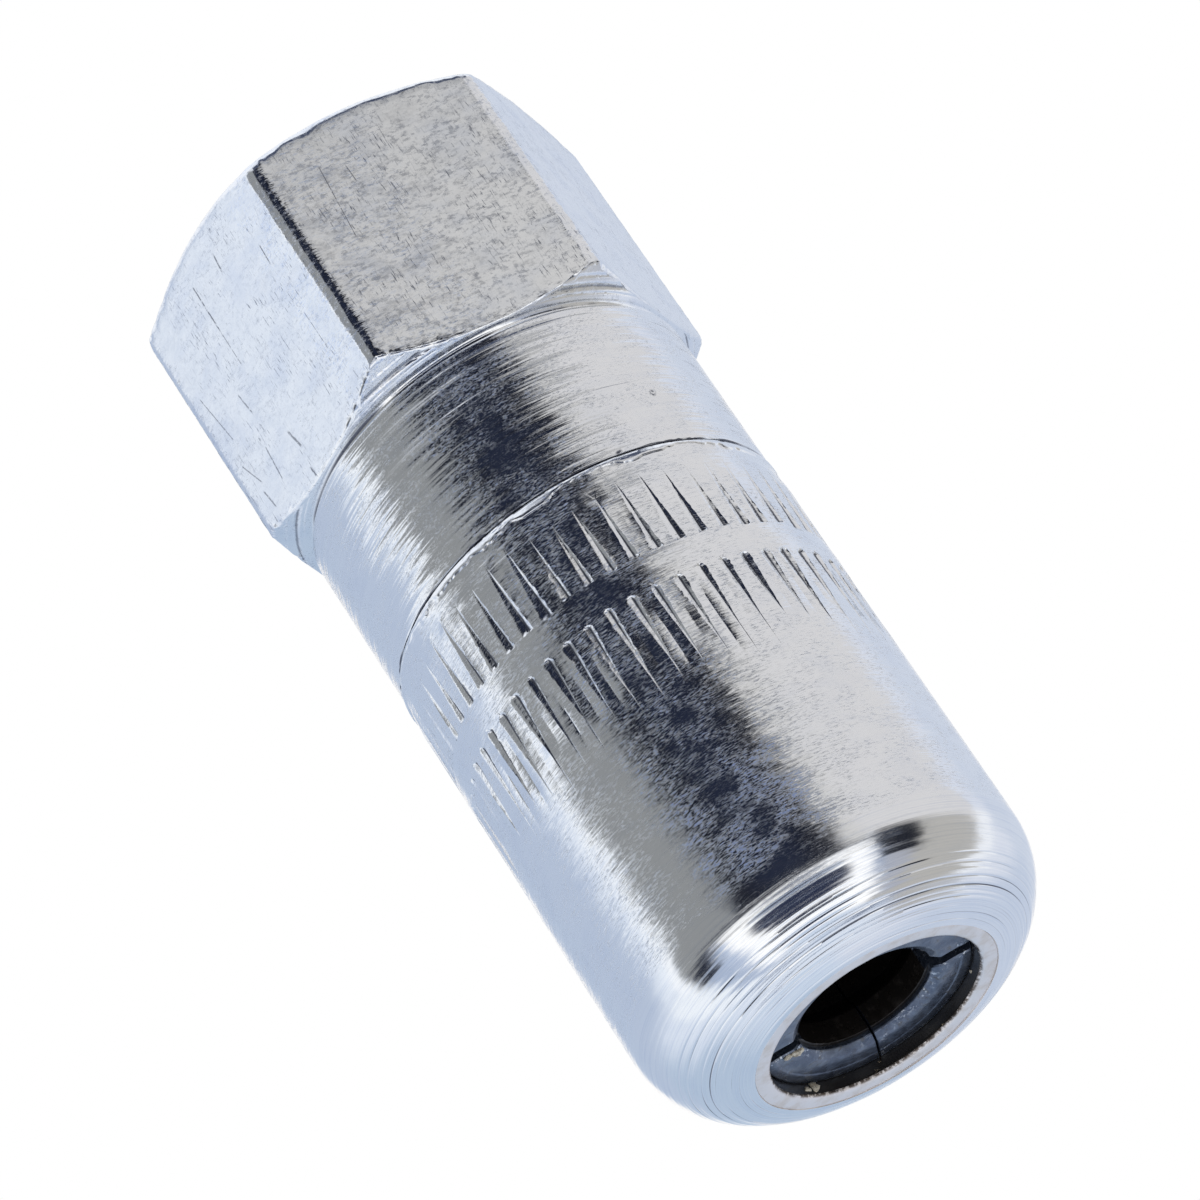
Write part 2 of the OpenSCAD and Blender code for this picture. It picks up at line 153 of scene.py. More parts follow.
class Graph:
    """A node tree that is written as expressions."""

    def __init__(self, tree: bpy.types.NodeTree) -> None:
        """Empties the tree."""
        self.tree = tree
        tree.nodes.clear()

    def add(
        self,
        kind: str,
        settings: dict[str, Any] | None = None,
        inputs: dict[str | int, Any] | None = None,
    ) -> bpy.types.Node:
        """Adds a node.

        Args:
            kind: Blender's name for the type of node.
            settings: The node's own settings, which are set first.
            inputs: Numbers, colours or links by the socket's name or place.

        Returns:
            The new node.
        """
        made = self.tree.nodes.new(kind)
        for name, value in (settings or {}).items():
            setattr(made, name, value)
        for name, value in (inputs or {}).items():
            self.feed(made.inputs[name], value)
        return made

    def node(self, kind: str, *given: Any, output: str | int = 0) -> Value:
        """Adds a node from what add takes, and gives back one of its outputs."""
        return Value(self, self.add(kind, *given).outputs[output])

    def feed(self, socket: bpy.types.NodeSocket, value: Any) -> None:
        """Links a value to a socket, or sets a plain one.

        Args:
            socket: The input to feed.
            value: A link, or a plain number, vector or colour.
        """
        if isinstance(value, Value):
            self.tree.links.new(value.socket, socket)
        else:
            socket.default_value = value

    def math(self, operation: str, *values: Any) -> Value:
        """Adds a Math node for one or two values."""
        return self.node("ShaderNodeMath", {"operation": operation}, dict(enumerate(values)))

    def vector(self, operation: str, *values: Any) -> Value:
        """Adds a Vector Math node."""
        return self.node("ShaderNodeVectorMath", {"operation": operation}, dict(enumerate(values)))

    def scale(self, vector: Value, amount: Any) -> Value:
        """Makes a vector longer or shorter."""
        settings = {"operation": "SCALE"}
        return self.node("ShaderNodeVectorMath", settings, {0: vector, "Scale": amount})

    def mix(self, factor: Any, first: Any, second: Any) -> Value:
        """Goes from the first colour to the second as factor goes from 0 to 1."""
        inputs = {0: factor, 6: first, 7: second}
        return self.node("ShaderNodeMix", {"data_type": "RGBA"}, inputs, output=2)

    def parts(self, vector: Value) -> tuple[Value, ...]:
        """Splits a vector into its three numbers."""
        made = self.add("ShaderNodeSeparateXYZ", None, {0: vector})
        return tuple(Value(self, socket) for socket in made.outputs)

    def noise(self, point: Value, detail: float = 2.0, rough: float = 0.5) -> Value:
        """Smooth noise from 0 to 1 with one blot to each unit of the point."""
        inputs = {"Vector": point, "Scale": 1.0, "Detail": detail, "Roughness": rough}
        return self.node("ShaderNodeTexNoise", None, inputs)


class Surface(Graph):
    """The node tree of one material, with a Principled shader to feed."""

    def __init__(self, name: str, turned: bool = False, **fixed: Any) -> None:
        """Starts a material.

        Args:
            name: Name of the material.
            turned: Whether the grain follows the cutting tool over the rounded nose.
            fixed: Values that are the same all over, by the socket's name with _ for a space.
        """
        self.material = bpy.data.materials.new(name)
        self.material.use_nodes = True
        super().__init__(self.material.node_tree)
        self.shader = self.add("ShaderNodeBsdfPrincipled")
        self.paint(**fixed)
        self.add("ShaderNodeOutputMaterial", None, {0: Value(self, self.shader.outputs[0])})
        coords = self.node("ShaderNodeTexCoord", output="Object")
        self.spot = self.place = self.scale(coords, 1 / METRE)
        if turned:
            x, y, z = self.parts(self.place)
            along = z - (x * x + y * y) ** 0.5
            self.place = self.node("ShaderNodeCombineXYZ", None, {"X": x, "Y": y, "Z": along})

    def grain(self, around: float, along: float, detail: float = 2.0, rough: float = 0.5) -> Value:
        """Noise in grains of a size in millimetres around and along the axis."""
        point = self.vector("MULTIPLY", self.place, (1 / around, 1 / around, 1 / along))
        return self.noise(point, detail, rough)

    def paint(self, **channels: Any) -> bpy.types.Material:
        """Feeds the shader and gives back the material.

        Args:
            channels: Values or links by the socket's name with _ for a space.

        Returns:
            The finished material.
        """
        for key, value in channels.items():
            self.feed(self.shader.inputs[key.replace("_", " ")], value)
        return self.material

    def lean(self, around: Value, along: Value) -> Value:
        """Tilts the surface's normal.

        Args:
            around: Tilt round the axis, in radians.
            along: Tilt along the axis, in radians.

        Returns:
            The tilted normal.
        """
        normal = self.node("ShaderNodeNewGeometry", output="Normal")
        side = self.vector("CROSS_PRODUCT", (0.0, 0.0, 1.0), normal)
        up = self.vector("CROSS_PRODUCT", normal, side)
        tilted = self.vector("ADD", normal, self.scale(side, around))
        tilted = self.vector("ADD", tilted, self.scale(up, along))
        return self.vector("NORMALIZE", tilted)

    def wear(self) -> Value:
        """How worn each spot is, as the mesh carries it."""
        return self.node("ShaderNodeAttribute", {"attribute_name": "wear"}, output="Fac")

    def bump(self, height: Value, depth: float) -> Value:
        """Gives the normal of a relief that is depth millimetres high."""
        return self.node("ShaderNodeBump", None, {"Height": height, "Distance": depth * METRE})


# Finishes


class Slot(Enum):
    """Material slots of the record."""

    ZINC = "zinc_plate"
    BRIGHT = "bright_steel"
    SPRING = "spring_steel"
    JAW = "jaw_steel"
    NITRILE = "nitrile"
    PLASTIC = "white_plastic"


@dataclass(frozen=True)
class Scratch:
    """A dark mark that something hard left on one face.

    Its ends are given by the place across the face and by the height.
    """

    face: float
    start: Pair
    end: Pair
    half: float = 0.03
    dark: float = 0.7
    ragged_grain: Triple = (9.0, 9.0, 5.0)
    face_from: float = 7.0
    face_to: float = 7.2

    def mask(self, s: Surface) -> Value:
        """How dark each spot is, from 0 to 1.

        Args:
            s: The material's node tree.

        Returns:
            The mark's mask.
        """
        x, y, z = s.parts(s.spot)
        c, n = math.cos(math.radians(self.face)), math.sin(math.radians(self.face))
        run, climb = self.end[0] - self.start[0], self.end[1] - self.start[1]
        length = math.hypot(run, climb)
        run, climb = run / length, climb / length
        u, v = y * c - x * n - self.start[0], z - self.start[1]
        ragged = s.noise(s.vector("MULTIPLY", s.spot, self.ragged_grain), 3.0, 0.6)
        off = abs(u * climb - v * run) + (ragged - 0.5) * self.half * 1.6
        along = u * run + v * climb
        ends = along.rise(-0.05, 0.1) * along.rise(length + 0.05, length - 0.1)
        broken = ragged.rise(0.34, 0.48) * self.dark
        near = (x * c + y * n).rise(self.face_from, self.face_to)
        return off.rise(self.half, self.half * 0.35) * ends * near * broken


@dataclass(frozen=True)
class Zinc:
    """Bright zinc plate over turned or drawn steel.

    The hairs are the lines of the cutting tool or of the drawing die, and the strokes are short
    marks where the plate is dull. Wear below 0 in the mesh, and the scratches, darken the plate
    towards the grime colour; in the hex's shoulder groove this darkening is painted shade. The
    flecks are rough specks with a painted blue highlight, mostly on the side that faces the camera.
    """

    name: str
    turned: bool = True
    polish: float = 0.12
    haze: float = 0.5
    hair_around: float = 0.8
    hair_along: float = 0.035
    hair_tilt: float = 0.4
    hair_detail: float = 4.0
    wave_tilt: float = 0.06
    stroke_around: float = 0.24
    stroke_along: float = 0.042
    stroke_tilt: float = 0.25
    stroke_low: float = 0.47
    stroke_high: float = 0.66
    line_shade: float = 0.4
    fleck: float = 0.75
    # Side of the plate that faces the camera, where the flecks and their painted blue highlight lie.
    strip_azimuth: float = -72.0
    strip_from: float = 6.96
    strip_to: float = 7.34
    mottle: float = 0.2
    dashes: float = 0.0
    calm_nose: bool = False
    calm_from: float = 25.95
    calm_to: float = 26.7
    # Heights over which the flecks, with their painted blue highlight, grow denser towards the nose.
    highlight_boost_from: float = 20.0
    highlight_boost_to: float = 24.5
    scratches: tuple[Scratch, ...] = ()
    clean: Colour = (0.87, 0.89, 0.91, 1.0)
    dull: Colour = (0.62, 0.68, 0.80, 1.0)
    # Painted blue highlight tint of the flecks.
    fleck_highlight: Colour = (0.58, 0.70, 0.96, 1.0)
    pit: Colour = (0.20, 0.22, 0.28, 1.0)
    # Colour that scratches and wear below 0 darken towards; in the shoulder groove it is painted shade.
    grime_and_shade: Colour = (0.09, 0.10, 0.14, 1.0)

    def material(self) -> bpy.types.Material:
        """Makes the material.

        Returns:
            The finished material.
        """
        s = Surface(self.name, self.turned, Metallic=1.0)
        wear = s.wear()
        worn = s.math("MAXIMUM", wear, 0.0)
        # Darkening where wear is below 0; in the hex's shoulder groove it is painted shade.
        grime_and_shade = (0 - wear).rise(0.4, 0.8)
        x, y, height = s.parts(s.place)
        nose: Any = height.rise(self.calm_from, self.calm_to) if self.calm_nose else 0.0
        calm = 1 - nose * 0.85
        hairs = s.grain(self.hair_around, self.hair_along, self.hair_detail, 0.7)
        lines = s.grain(self.hair_around * 4, self.hair_along * 1.8, 3.0, 0.6)
        strokes = s.grain(self.stroke_around, self.stroke_along, 4.0, 0.65)
        patches = s.grain(1.1, 0.8).rise(0.34, 0.6)
        dull = strokes.rise(self.stroke_low, self.stroke_high) * (patches * 0.7 + 0.3 + worn) * calm
        stain = s.grain(1.6, 1.2, 4.0, 0.6).rise(0.4, 0.75)
        # Flecks: rough specks tinted with a painted blue highlight, mostly on the side that faces the camera
        # and denser towards the nose.
        highlight_boost: Any = height.rise(self.highlight_boost_from, self.highlight_boost_to) * 0.06 if self.calm_nose else 0.0
        flecks = (s.grain(0.2, 0.045, 4.0, 0.72) + highlight_boost).rise(0.49, 0.7)
        flecks = flecks * (patches * 0.75 + 0.25) * calm * (self.strip(x, y) * 0.9 + 0.1)
        rough = dull * self.haze + flecks * self.fleck + (lines.rise(0.52, 0.72) * 0.08 + self.polish)
        waves = (s.grain(0.7, 0.5) - 0.5) * self.wave_tilt
        around = ((hairs - 0.5) * self.hair_tilt + (strokes - 0.5) * self.stroke_tilt) * calm + waves
        along = (lines - 0.5) * self.hair_tilt * calm
        shade = dull * 0.16 + stain * self.mottle + (lines - 0.5) * self.line_shade
        if self.calm_nose:
            rings = s.grain(18.0, 0.05, 3.0, 0.7)
            along = along + (rings - 0.5) * nose * 0.16
            shade = shade + (rings - 0.5) * nose * 1.8
        tint = s.mix(shade, self.clean, self.dull)
        if self.dashes:
            dash = s.grain(0.055, 0.5, 3.0, 0.6).rise(0.6, 0.68)
            fleck = s.grain(0.16, 0.09, 3.0, 0.6).rise(0.6, 0.72) * 0.4
            sparse = s.grain(1.6, 2.2).rise(0.4, 0.62) * 0.85 + 0.15
            marks = (dash + fleck) * sparse * self.dashes
            tint = s.mix(marks * 0.85, tint, self.pit)
            rough = rough + marks * 0.2
            grit = (s.grain(0.22, 0.06, 3.0) - 0.5) * (marks * 0.12 + worn * 0.55 + 0.03)
            around = around + grit
            along = along + grit
        # Painted blue highlight on the flecks.
        tint = s.mix(flecks * 0.8, tint, self.fleck_highlight)
        for scratch in self.scratches:
            grime_and_shade = s.math("MAXIMUM", grime_and_shade, scratch.mask(s))
        # Darkens towards the grime colour: scratches, and painted shade in the shoulder groove.
        tint = s.mix(grime_and_shade * 0.9, tint, self.grime_and_shade)
        rough = rough + grime_and_shade * 0.3
        return s.paint(Base_Color=tint, Roughness=rough, Normal=s.lean(around, along))

    def strip(self, x: Value, y: Value) -> Value:
        """How far a spot lies on the side of the plate that faces the camera, where the flecks and their
        painted blue highlight gather.
        """
        angle = math.radians(self.strip_azimuth)
        return (x * math.cos(angle) + y * math.sin(angle)).rise(self.strip_from, self.strip_to)


@dataclass(frozen=True)
class Steel:
    """Bare steel that was turned, ground or drawn to wire."""

    name: str
    clean: Colour = (0.62, 0.61, 0.60, 1.0)
    dark: Colour = (0.42, 0.41, 0.41, 1.0)
    polish: float = 0.22
    grain_around: float = 1.5
    grain_along: float = 0.05
    tilt: float = 0.06
    dirt: Colour = (0.13, 0.105, 0.09, 1.0)

    def material(self) -> bpy.types.Material:
        """Makes the material.

        Returns:
            The finished material.
        """
        s = Surface(self.name, Metallic=1.0)
        lines = s.grain(self.grain_around, self.grain_along, 3.0, 0.6)
        blots = s.grain(0.6, 0.6, 4.0, 0.6).rise(0.42, 0.7)
        darkening = s.grain(0.2, 0.2, 5.0, 0.7).rise(0.6, 0.45) * s.wear().rise(0.3, 1.0)
        tint = s.mix(darkening, s.mix(blots, self.clean, self.dark), self.dirt)
        lean = (lines - 0.5) * self.tilt
        return s.paint(
            Base_Color=tint,
            Roughness=blots * 0.15 + (lines * 0.1 + self.polish),
            Normal=s.lean(lean * 0.4, lean),
        )


@dataclass(frozen=True)
class OiledSteel:
    """Hardened blue-black steel under a film of oil, rubbed bare along its edges, with painted shade in the
    grease colour inside the hole.
    """

    name: str
    clean: Colour = (0.088, 0.110, 0.160, 1.0)
    worn: Colour = (0.17, 0.21, 0.28, 1.0)
    bare: Colour = (0.72, 0.77, 0.84, 1.0)
    # Colour of the oil smears, and of the painted shade inside the hole.
    grease: Colour = (0.028, 0.024, 0.021, 1.0)

    def material(self) -> bpy.types.Material:
        """Makes the material.

        Returns:
            The finished material.
        """
        s = Surface(self.name, Coat_Roughness=0.07, Coat_IOR=1.47)
        rings = s.grain(3.0, 3.0)
        ground = s.grain(0.35, 0.25, 4.0, 0.65)
        film = s.grain(0.9, 0.7).rise(0.4, 0.62)
        smears = s.grain(0.25, 0.4, 3.0, 0.6).rise(0.52, 0.68)
        wear = s.wear()
        # Painted shade inside the hole, where wear is below 0, with less shine.
        hole_shade = (0 - wear).rise(0.0, 0.8)
        spots = s.grain(0.14, 0.14, 3.0, 0.7).rise(0.55, 0.63)
        glints = spots * s.grain(0.7, 0.7, 1.0).rise(0.42, 0.56) * s.math("MAXIMUM", wear, 0.0)
        tint = s.mix(ground.rise(0.42, 0.72) * 0.7 + rings * 0.2, self.clean, self.worn)
        tint = s.mix(smears * film * 0.7, tint, self.grease)
        tint = s.mix(hole_shade, tint, self.grease)
        tint = s.mix(glints, tint, self.bare)
        return s.paint(
            Base_Color=tint,
            Metallic=0.85 - smears * film * 0.6 - hole_shade * 0.2,
            Roughness=ground * 0.3 + 0.16 - glints * 0.12,
            Coat_Weight=(film * 0.6 + 0.15) * (1 - hole_shade * 0.8),
            Normal=s.bump(ground + smears * film * 0.6, 0.015),
        )


@dataclass(frozen=True)
class Rubber:
    """Black nitrile with a thin film of grease."""

    name: str
    clean: Colour = (0.012, 0.012, 0.013, 1.0)
    dusty: Colour = (0.03, 0.029, 0.028, 1.0)

    def material(self) -> bpy.types.Material:
        """Makes the material.

        Returns:
            The finished material.
        """
        s = Surface(self.name)
        fine = s.grain(0.09, 0.09, 3.0, 0.6)
        film = s.grain(0.8, 0.8).rise(0.4, 0.65)
        return s.paint(
            Base_Color=s.mix(fine * (1 - film), self.clean, self.dusty),
            Roughness=0.55 - film * 0.3,
            Normal=s.bump(fine, 0.006),
        )


@dataclass(frozen=True)
class Plastic:
    """White plastic of the back-up ring, turned from a tube."""

    name: str
    clean: Colour = (0.78, 0.76, 0.70, 1.0)
    greasy: Colour = (0.62, 0.55, 0.42, 1.0)

    def material(self) -> bpy.types.Material:
        """Makes the material.

        Returns:
            The finished material.
        """
        s = Surface(self.name, Subsurface_Weight=0.1, Subsurface_Scale=METRE)
        lines = s.grain(2.0, 0.04)
        film = s.grain(0.9, 0.5, 3.0).rise(0.45, 0.7)
        return s.paint(
            Base_Color=s.mix(film, self.clean, self.greasy),
            Roughness=0.48 - film * 0.2,
            Normal=s.bump(lines, 0.004),
        )


@dataclass(frozen=True)
class Grease:
    """Old grease, from a dark film on steel to pale crumbs; on the mouth wall the dark film is also painted
    shade.
    """

    name: str
    dark: Colour = (0.030, 0.026, 0.022, 1.0)
    pale: Colour = (0.42, 0.33, 0.21, 1.0)
    crumbs: float = 0.66
    metal: float = 0.5

    def material(self) -> bpy.types.Material:
        """Makes the material.

        Returns:
            The finished material.
        """
        s = Surface(self.name, Coat_Roughness=0.12)
        lumps = s.grain(0.35, 0.2, 4.0, 0.65)
        crumb = lumps.rise(self.crumbs, self.crumbs + 0.06)
        return s.paint(
            Base_Color=s.mix(crumb, self.dark, self.pale),
            Metallic=(1 - crumb) * self.metal,
            Roughness=crumb * 0.35 + 0.25,
            Coat_Weight=0.5 - crumb * 0.3,
            Normal=s.bump(lumps, 0.03),
        )


# Mesh writing


class Shell:
    """Points and faces of one piece, collected ring by ring."""

    def __init__(self) -> None:
        """Starts with nothing."""
        self.blocks: list[np.ndarray] = []
        self.count = 0
        self.faces: list[tuple[int, ...]] = []
        self.finishes: list[int] = []
        self.wear: list[np.ndarray] = []

    def points(self, spots: np.ndarray, wear: Any = 0.0) -> np.ndarray:
        """Adds points with their wear and gives back their numbers.

        Args:
            spots: Points in millimetres.
            wear: How worn the surface is there, or one for each point.

        Returns:
            The points' numbers.
        """
        self.blocks.append(spots.reshape(-1, 3))
        numbers = np.arange(self.count, self.count + len(self.blocks[-1]))
        self.wear.append(np.broadcast_to(np.asarray(wear, float), numbers.shape))
        self.count += len(numbers)
        return numbers

    def ring(self, radius: Any, height: Any, azimuth: np.ndarray, wear: Any = 0.0) -> np.ndarray:
        """Adds a ring of points round the axis.

        Args:
            radius: Radius, or one for each point.
            height: Height, or one for each point.
            azimuth: Azimuth of each point, in radians.
            wear: How worn the surface is there, or one for each point.

        Returns:
            The points' numbers.
        """
        radius = np.broadcast_to(radius, azimuth.shape)
        height = np.broadcast_to(height, azimuth.shape)
        spots = np.stack([radius * np.cos(azimuth), radius * np.sin(azimuth), height], 1)
        return self.points(spots, wear)

    def rings(self, rows: Iterable[tuple], azimuth: np.ndarray) -> list[np.ndarray]:
        """Adds a ring for each row of radius, height and perhaps wear."""
        return [self.ring(row[0], row[1], azimuth, *row[2:]) for row in rows]

    def strip(self, lower: np.ndarray, upper: np.ndarray, finish: int = 0) -> None:
        """Adds the faces between two rings, one of which may have fewer points.

        Args:
            lower: Numbers of the ring that the outline meets first.
            upper: Numbers of the next ring.
            finish: Which of the piece's materials the faces take.
        """
        cells = min(len(lower), len(upper))
        one, two = len(lower) // cells, len(upper) // cells
        for i in range(cells):
            near = [int(lower[(i * one + k) % len(lower)]) for k in range(one + 1)]
            far = [int(upper[(i * two + k) % len(upper)]) for k in range(two, -1, -1)]
            self.faces.append((*near, *far))
        self.finishes.extend([finish] * cells)

    def skin(self, rings: list[np.ndarray], finish: int = 0) -> None:
        """Adds the faces between each ring and the next."""
        for lower, upper in zip(rings, rings[1:]):
            self.strip(lower, upper, finish)

    def wrap(self, parts: list[tuple[list[np.ndarray], int, int]]) -> None:
        """Skins sets of rings and joins each set to the next, and the last to the first.

        Args:
            parts: Rings of each set, its finish, and the finish of the joint that follows it.
        """
        for rings, finish, _ in parts:
            self.skin(rings, finish)
        for (rings, _, joint), (following, _, _) in zip(parts, parts[1:] + parts[:1]):
            self.strip(rings[-1], following[0], joint)

    def cap(self, ring: np.ndarray) -> None:
        """Closes an end with one face over a ring."""
        self.faces.append(tuple(int(i) for i in ring))
        self.finishes.append(0)

    def piece(
        self,
        name: str,
        body: str,
        materials: list[bpy.types.Material],
        crease: float = 38.0,
    ) -> bpy.types.Object:
        """Writes the mesh and hangs it on its body.

        Args:
            name: Name of the piece.
            body: CAD body that it moves with.
            materials: Its materials, in the order of the faces' finishes.
            crease: Angle in degrees over which an edge stays sharp.

        Returns:
            The new object.
        """
        mesh = bpy.data.meshes.new(name)
        spots = np.concatenate(self.blocks) * METRE
        mesh.from_pydata(spots.tolist(), [], self.faces)
        for material in materials:
            mesh.materials.append(material)
        mesh.polygons.foreach_set("material_index", self.finishes)
        mesh.polygons.foreach_set("use_smooth", [True] * len(self.faces))
        mesh.set_sharp_from_angle(angle=math.radians(crease))
        worn = mesh.attributes.new("wear", "FLOAT", "POINT")
        worn.data.foreach_set("value", np.concatenate(self.wear))
        mesh.update()
        made = bpy.data.objects.new(name, mesh)
        bpy.context.scene.collection.objects.link(made)
        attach(made, body)
        LOG.info("%s: %d faces on body %s", name, len(self.faces), body)
        return made


def eased(
    corners: Iterable[tuple[Any, Any, Any]],
    count: int,
    steps: int = 3,
    most: float = 0.45,
) -> Outline:
    """Rounds the corners of an outline that closes on itself.

    Args:
        corners: Radius, height and length of the rounding at each corner, as numbers or arrays.
        count: Number of points in a ring.
        steps: Number of short edges in each rounded corner.
        most: Largest share of an edge that one rounding takes.

    Returns:
        Radius and height of each ring.
    """
    spots = [[np.broadcast_to(np.asarray(v, float), (count,)) for v in c] for c in corners]
    rings: Outline = []
    for i, (radius, height, ease) in enumerate(spots):
        here = np.stack([radius, height])
        if not np.any(ease):
            rings.append((radius, height))
            continue
        ends = []
        for j in (i - 1, (i + 1) % len(spots)):
            away = np.stack(spots[j][:2]) - here
            length = np.maximum(np.hypot(*away), SHORTEST)
            ends.append(here + away / length * np.minimum(ease, most * length))
        for t in np.linspace(0, 1, steps + 1):
            spot = (1 - t) ** 2 * ends[0] + 2 * t * (1 - t) * here + t**2 * ends[1]
            rings.append((spot[0], spot[1]))
    return rings


def wander(rng: np.random.Generator, count: int, spread: int, amount: float) -> np.ndarray:
    """Makes a smooth random line that closes on itself.

    Args:
        rng: Source of the random numbers.
        count: Number of values.
        spread: Number of neighbours over which it is smoothed.
        amount: Its usual size.

    Returns:
        The values.
    """
    raw = rng.normal(size=count)
    window = np.hanning(spread + 2)[1:-1]
    line = np.convolve(np.tile(raw, 3), window / np.sqrt((window**2).sum()), "same")
    return amount * line[count : 2 * count]


def thread_depth(azimuth: np.ndarray, height: float, pitch: float, depth: float) -> np.ndarray:
    """Depth of a right-hand V thread below its crest, for each azimuth at one height."""
    turn = height / pitch - azimuth / math.tau
    return depth * (1 - np.abs(2 * (turn - np.floor(turn)) - 1))


def seeded(seed: int) -> Any:
    """A field that holds a sub-assembly's own source of random numbers."""
    return field(default_factory=lambda: np.random.default_rng(seed))


# Sub-assemblies


@dataclass
class HexBody:
    """The turned body with its hex, collar, spigot, inlet and valve chamber.

    Attributes:
        scores: Radius, width and depth of each round line that the tool left on the front chamfer.
        groove_spots: Radius, height and painted shade of each ring in the shoulder groove.
        bores: Radius, height and rounding of each corner of the bores, from the spigot's end down.
    """

    across_flats: float = 15.0
    corner_ease: float = 0.56
    least_ease: float = 0.42
    most_ease: float = 0.72
    worn_from: float = 8.42
    worn_over: float = 0.08
    worn_flat_lean: float = 13.0
    worn_flat_cut: float = 0.017
    scores: tuple[Triple, ...] = (
        (7.60, 0.03, 0.02), (7.80, 0.075, 0.065), (8.14, 0.04, 0.03),
    )
    hex_len: float = 10.9
    rear_face_r: float = 7.1
    front_face_r: float = 7.44
    chamfer_slope: float = math.sqrt(3)
    rear_start_r: float = 6.0
    least_chamfer: float = 0.05
    edge_wear: float = 0.4
    hex_rings: int = 42
    score_rings: int = 24
    groove_r: float = 7.225
    groove_spots: tuple[Triple, ...] = (
        (7.37, 10.915, 0), (7.31, 10.955, 0.7), (7.265, 11.01, 1), (7.24, 11.08, 0.3), (7.245, 11.145, 0),
    )
    collar_z: float = 11.2
    collar_r: float = 7.475
    seam_z: float = 17.65
    darkened_rings: int = 3
    spigot_r: float = 5.95
    spigot_top: float = 26.37
    spigot_chamfer: float = 0.4
    thread_from: float = 19.2
    thread_pitch: float = 1.0
    thread_cut: float = 0.42
    thread_rings: int = 9
    inlet_r: float = 4.37
    inlet_depth: float = 8.0
    inlet_thread: float = 7.4
    inlet_pitch: float = 0.907
    inlet_cut: float = 0.42
    inlet_rings: int = 8
    inlet_chamfer: float = 0.6
    bores: tuple[Triple, ...] = (
        (5.5, 26.37, 0), (4.2, 26.37, 0.05), (4.2, 25.69, 0), (4.7, 25.69, 0),
        (4.7, 24.95, 0), (4.2, 24.95, 0), (4.2, 14.953, 0), (3.0, 14.953, 0.03),
        (3.0, 14.153, 0), (2.3, 14.153, 0.03), (2.3, 10.05, 0), (1.25, 9.0, 0.03),
        (1.25, 8.0, 0.03),
    )
    side_columns: int = 72
    thin_out: int = 3
    rng: np.random.Generator = seeded(11)

    def columns(self) -> np.ndarray:
        """Azimuth of each column, closer together near the hex's corners.

        Returns:
            Azimuths in radians.
        """
        t = np.arange(self.side_columns) / self.side_columns * 2 - 1
        side = 30 * (0.33 * t + 0.67 * t**3)
        return np.radians(np.concatenate([side + 60 * k for k in range(6)]))

    def hex_radius(self, azimuth: np.ndarray, ease: np.ndarray) -> np.ndarray:
        """Radius of the hex with rounded corners, each with a narrow worn flat on one side.

        Args:
            azimuth: Azimuth of each column.
            ease: Radius of the rounding at each column.

        Returns:
            The radius at each column.
        """
        half = self.across_flats / 2
        half_side = math.pi / 6
        turn = (azimuth + half_side) % (2 * half_side) - half_side
        flat = half / np.cos(half_side - np.abs(turn))
        centre = (half - ease) / math.cos(half_side)
        inside = ease**2 - (centre * np.sin(turn)) ** 2
        arc = centre * np.cos(turn) + np.sqrt(np.maximum(inside, 0))
        reach = np.arctan2(ease * 0.5, centre + ease * math.cos(half_side))
        lean = math.radians(self.worn_flat_lean)
        bare = (centre * math.cos(lean) + ease - self.worn_flat_cut) / np.cos(turn - lean)
        return np.where(np.abs(turn) < reach, np.minimum(np.minimum(arc, flat), bare), flat)

    def corner_wear(self, radius: np.ndarray) -> np.ndarray:
        """How worn each column is, from its radius."""
        return np.clip((radius - self.worn_from) / self.worn_over, 0, 1)

    def hex_rows(self, azimuth: np.ndarray) -> list[tuple]:
        """Rings of the hex from its rear face to the shoulder groove, with their wear.

        Args:
            azimuth: Azimuth of each point, in radians.

        Returns:
            Radius, height and wear of each ring.
        """
        count = len(azimuth)
        radius = self.hex_radius(azimuth, self.corner_ease + wander(self.rng, count, 5, 0.03))
        rear = (radius - self.rear_face_r) / self.chamfer_slope
        front = np.maximum((radius - self.front_face_r) / self.chamfer_slope, self.least_chamfer)
        rear_worn = np.clip(0.30 + wander(self.rng, count, 5, 0.05), 0.12, 0.45)
        front_worn = np.clip(0.13 + wander(self.rng, count, 3, 0.045), 0.04, 0.26)
        corners = [
            (self.rear_start_r, 0, 0),
            (self.rear_face_r, 0, 0.1),
            (radius, rear, rear_worn),
            (radius, self.hex_len - front, front_worn),
            (self.front_face_r, self.hex_len - 0.01, 0.03),
            (self.groove_r, self.hex_len + 0.1, 0),
        ]
        rings = [(r, z, self.edge_wear) for r, z in eased(corners, count, 4)[1:-1]]
        middle = len(rings) // 2
        low, high = rings[middle - 1], rings[middle]
        rows = []
        for t in np.linspace(0, 1, self.hex_rings + 2)[1:-1]:
            rounding = self.corner_ease + wander(self.rng, count, 3, 0.05)
            height = low[1] + (high[1] - low[1]) * t
            shape = self.hex_radius(azimuth, np.clip(rounding, self.least_ease, self.most_ease))
            rows.append((shape, height, self.corner_wear(shape)))
        return rings[:middle] + rows + self.scored(rings[middle:]) + self.groove(count)

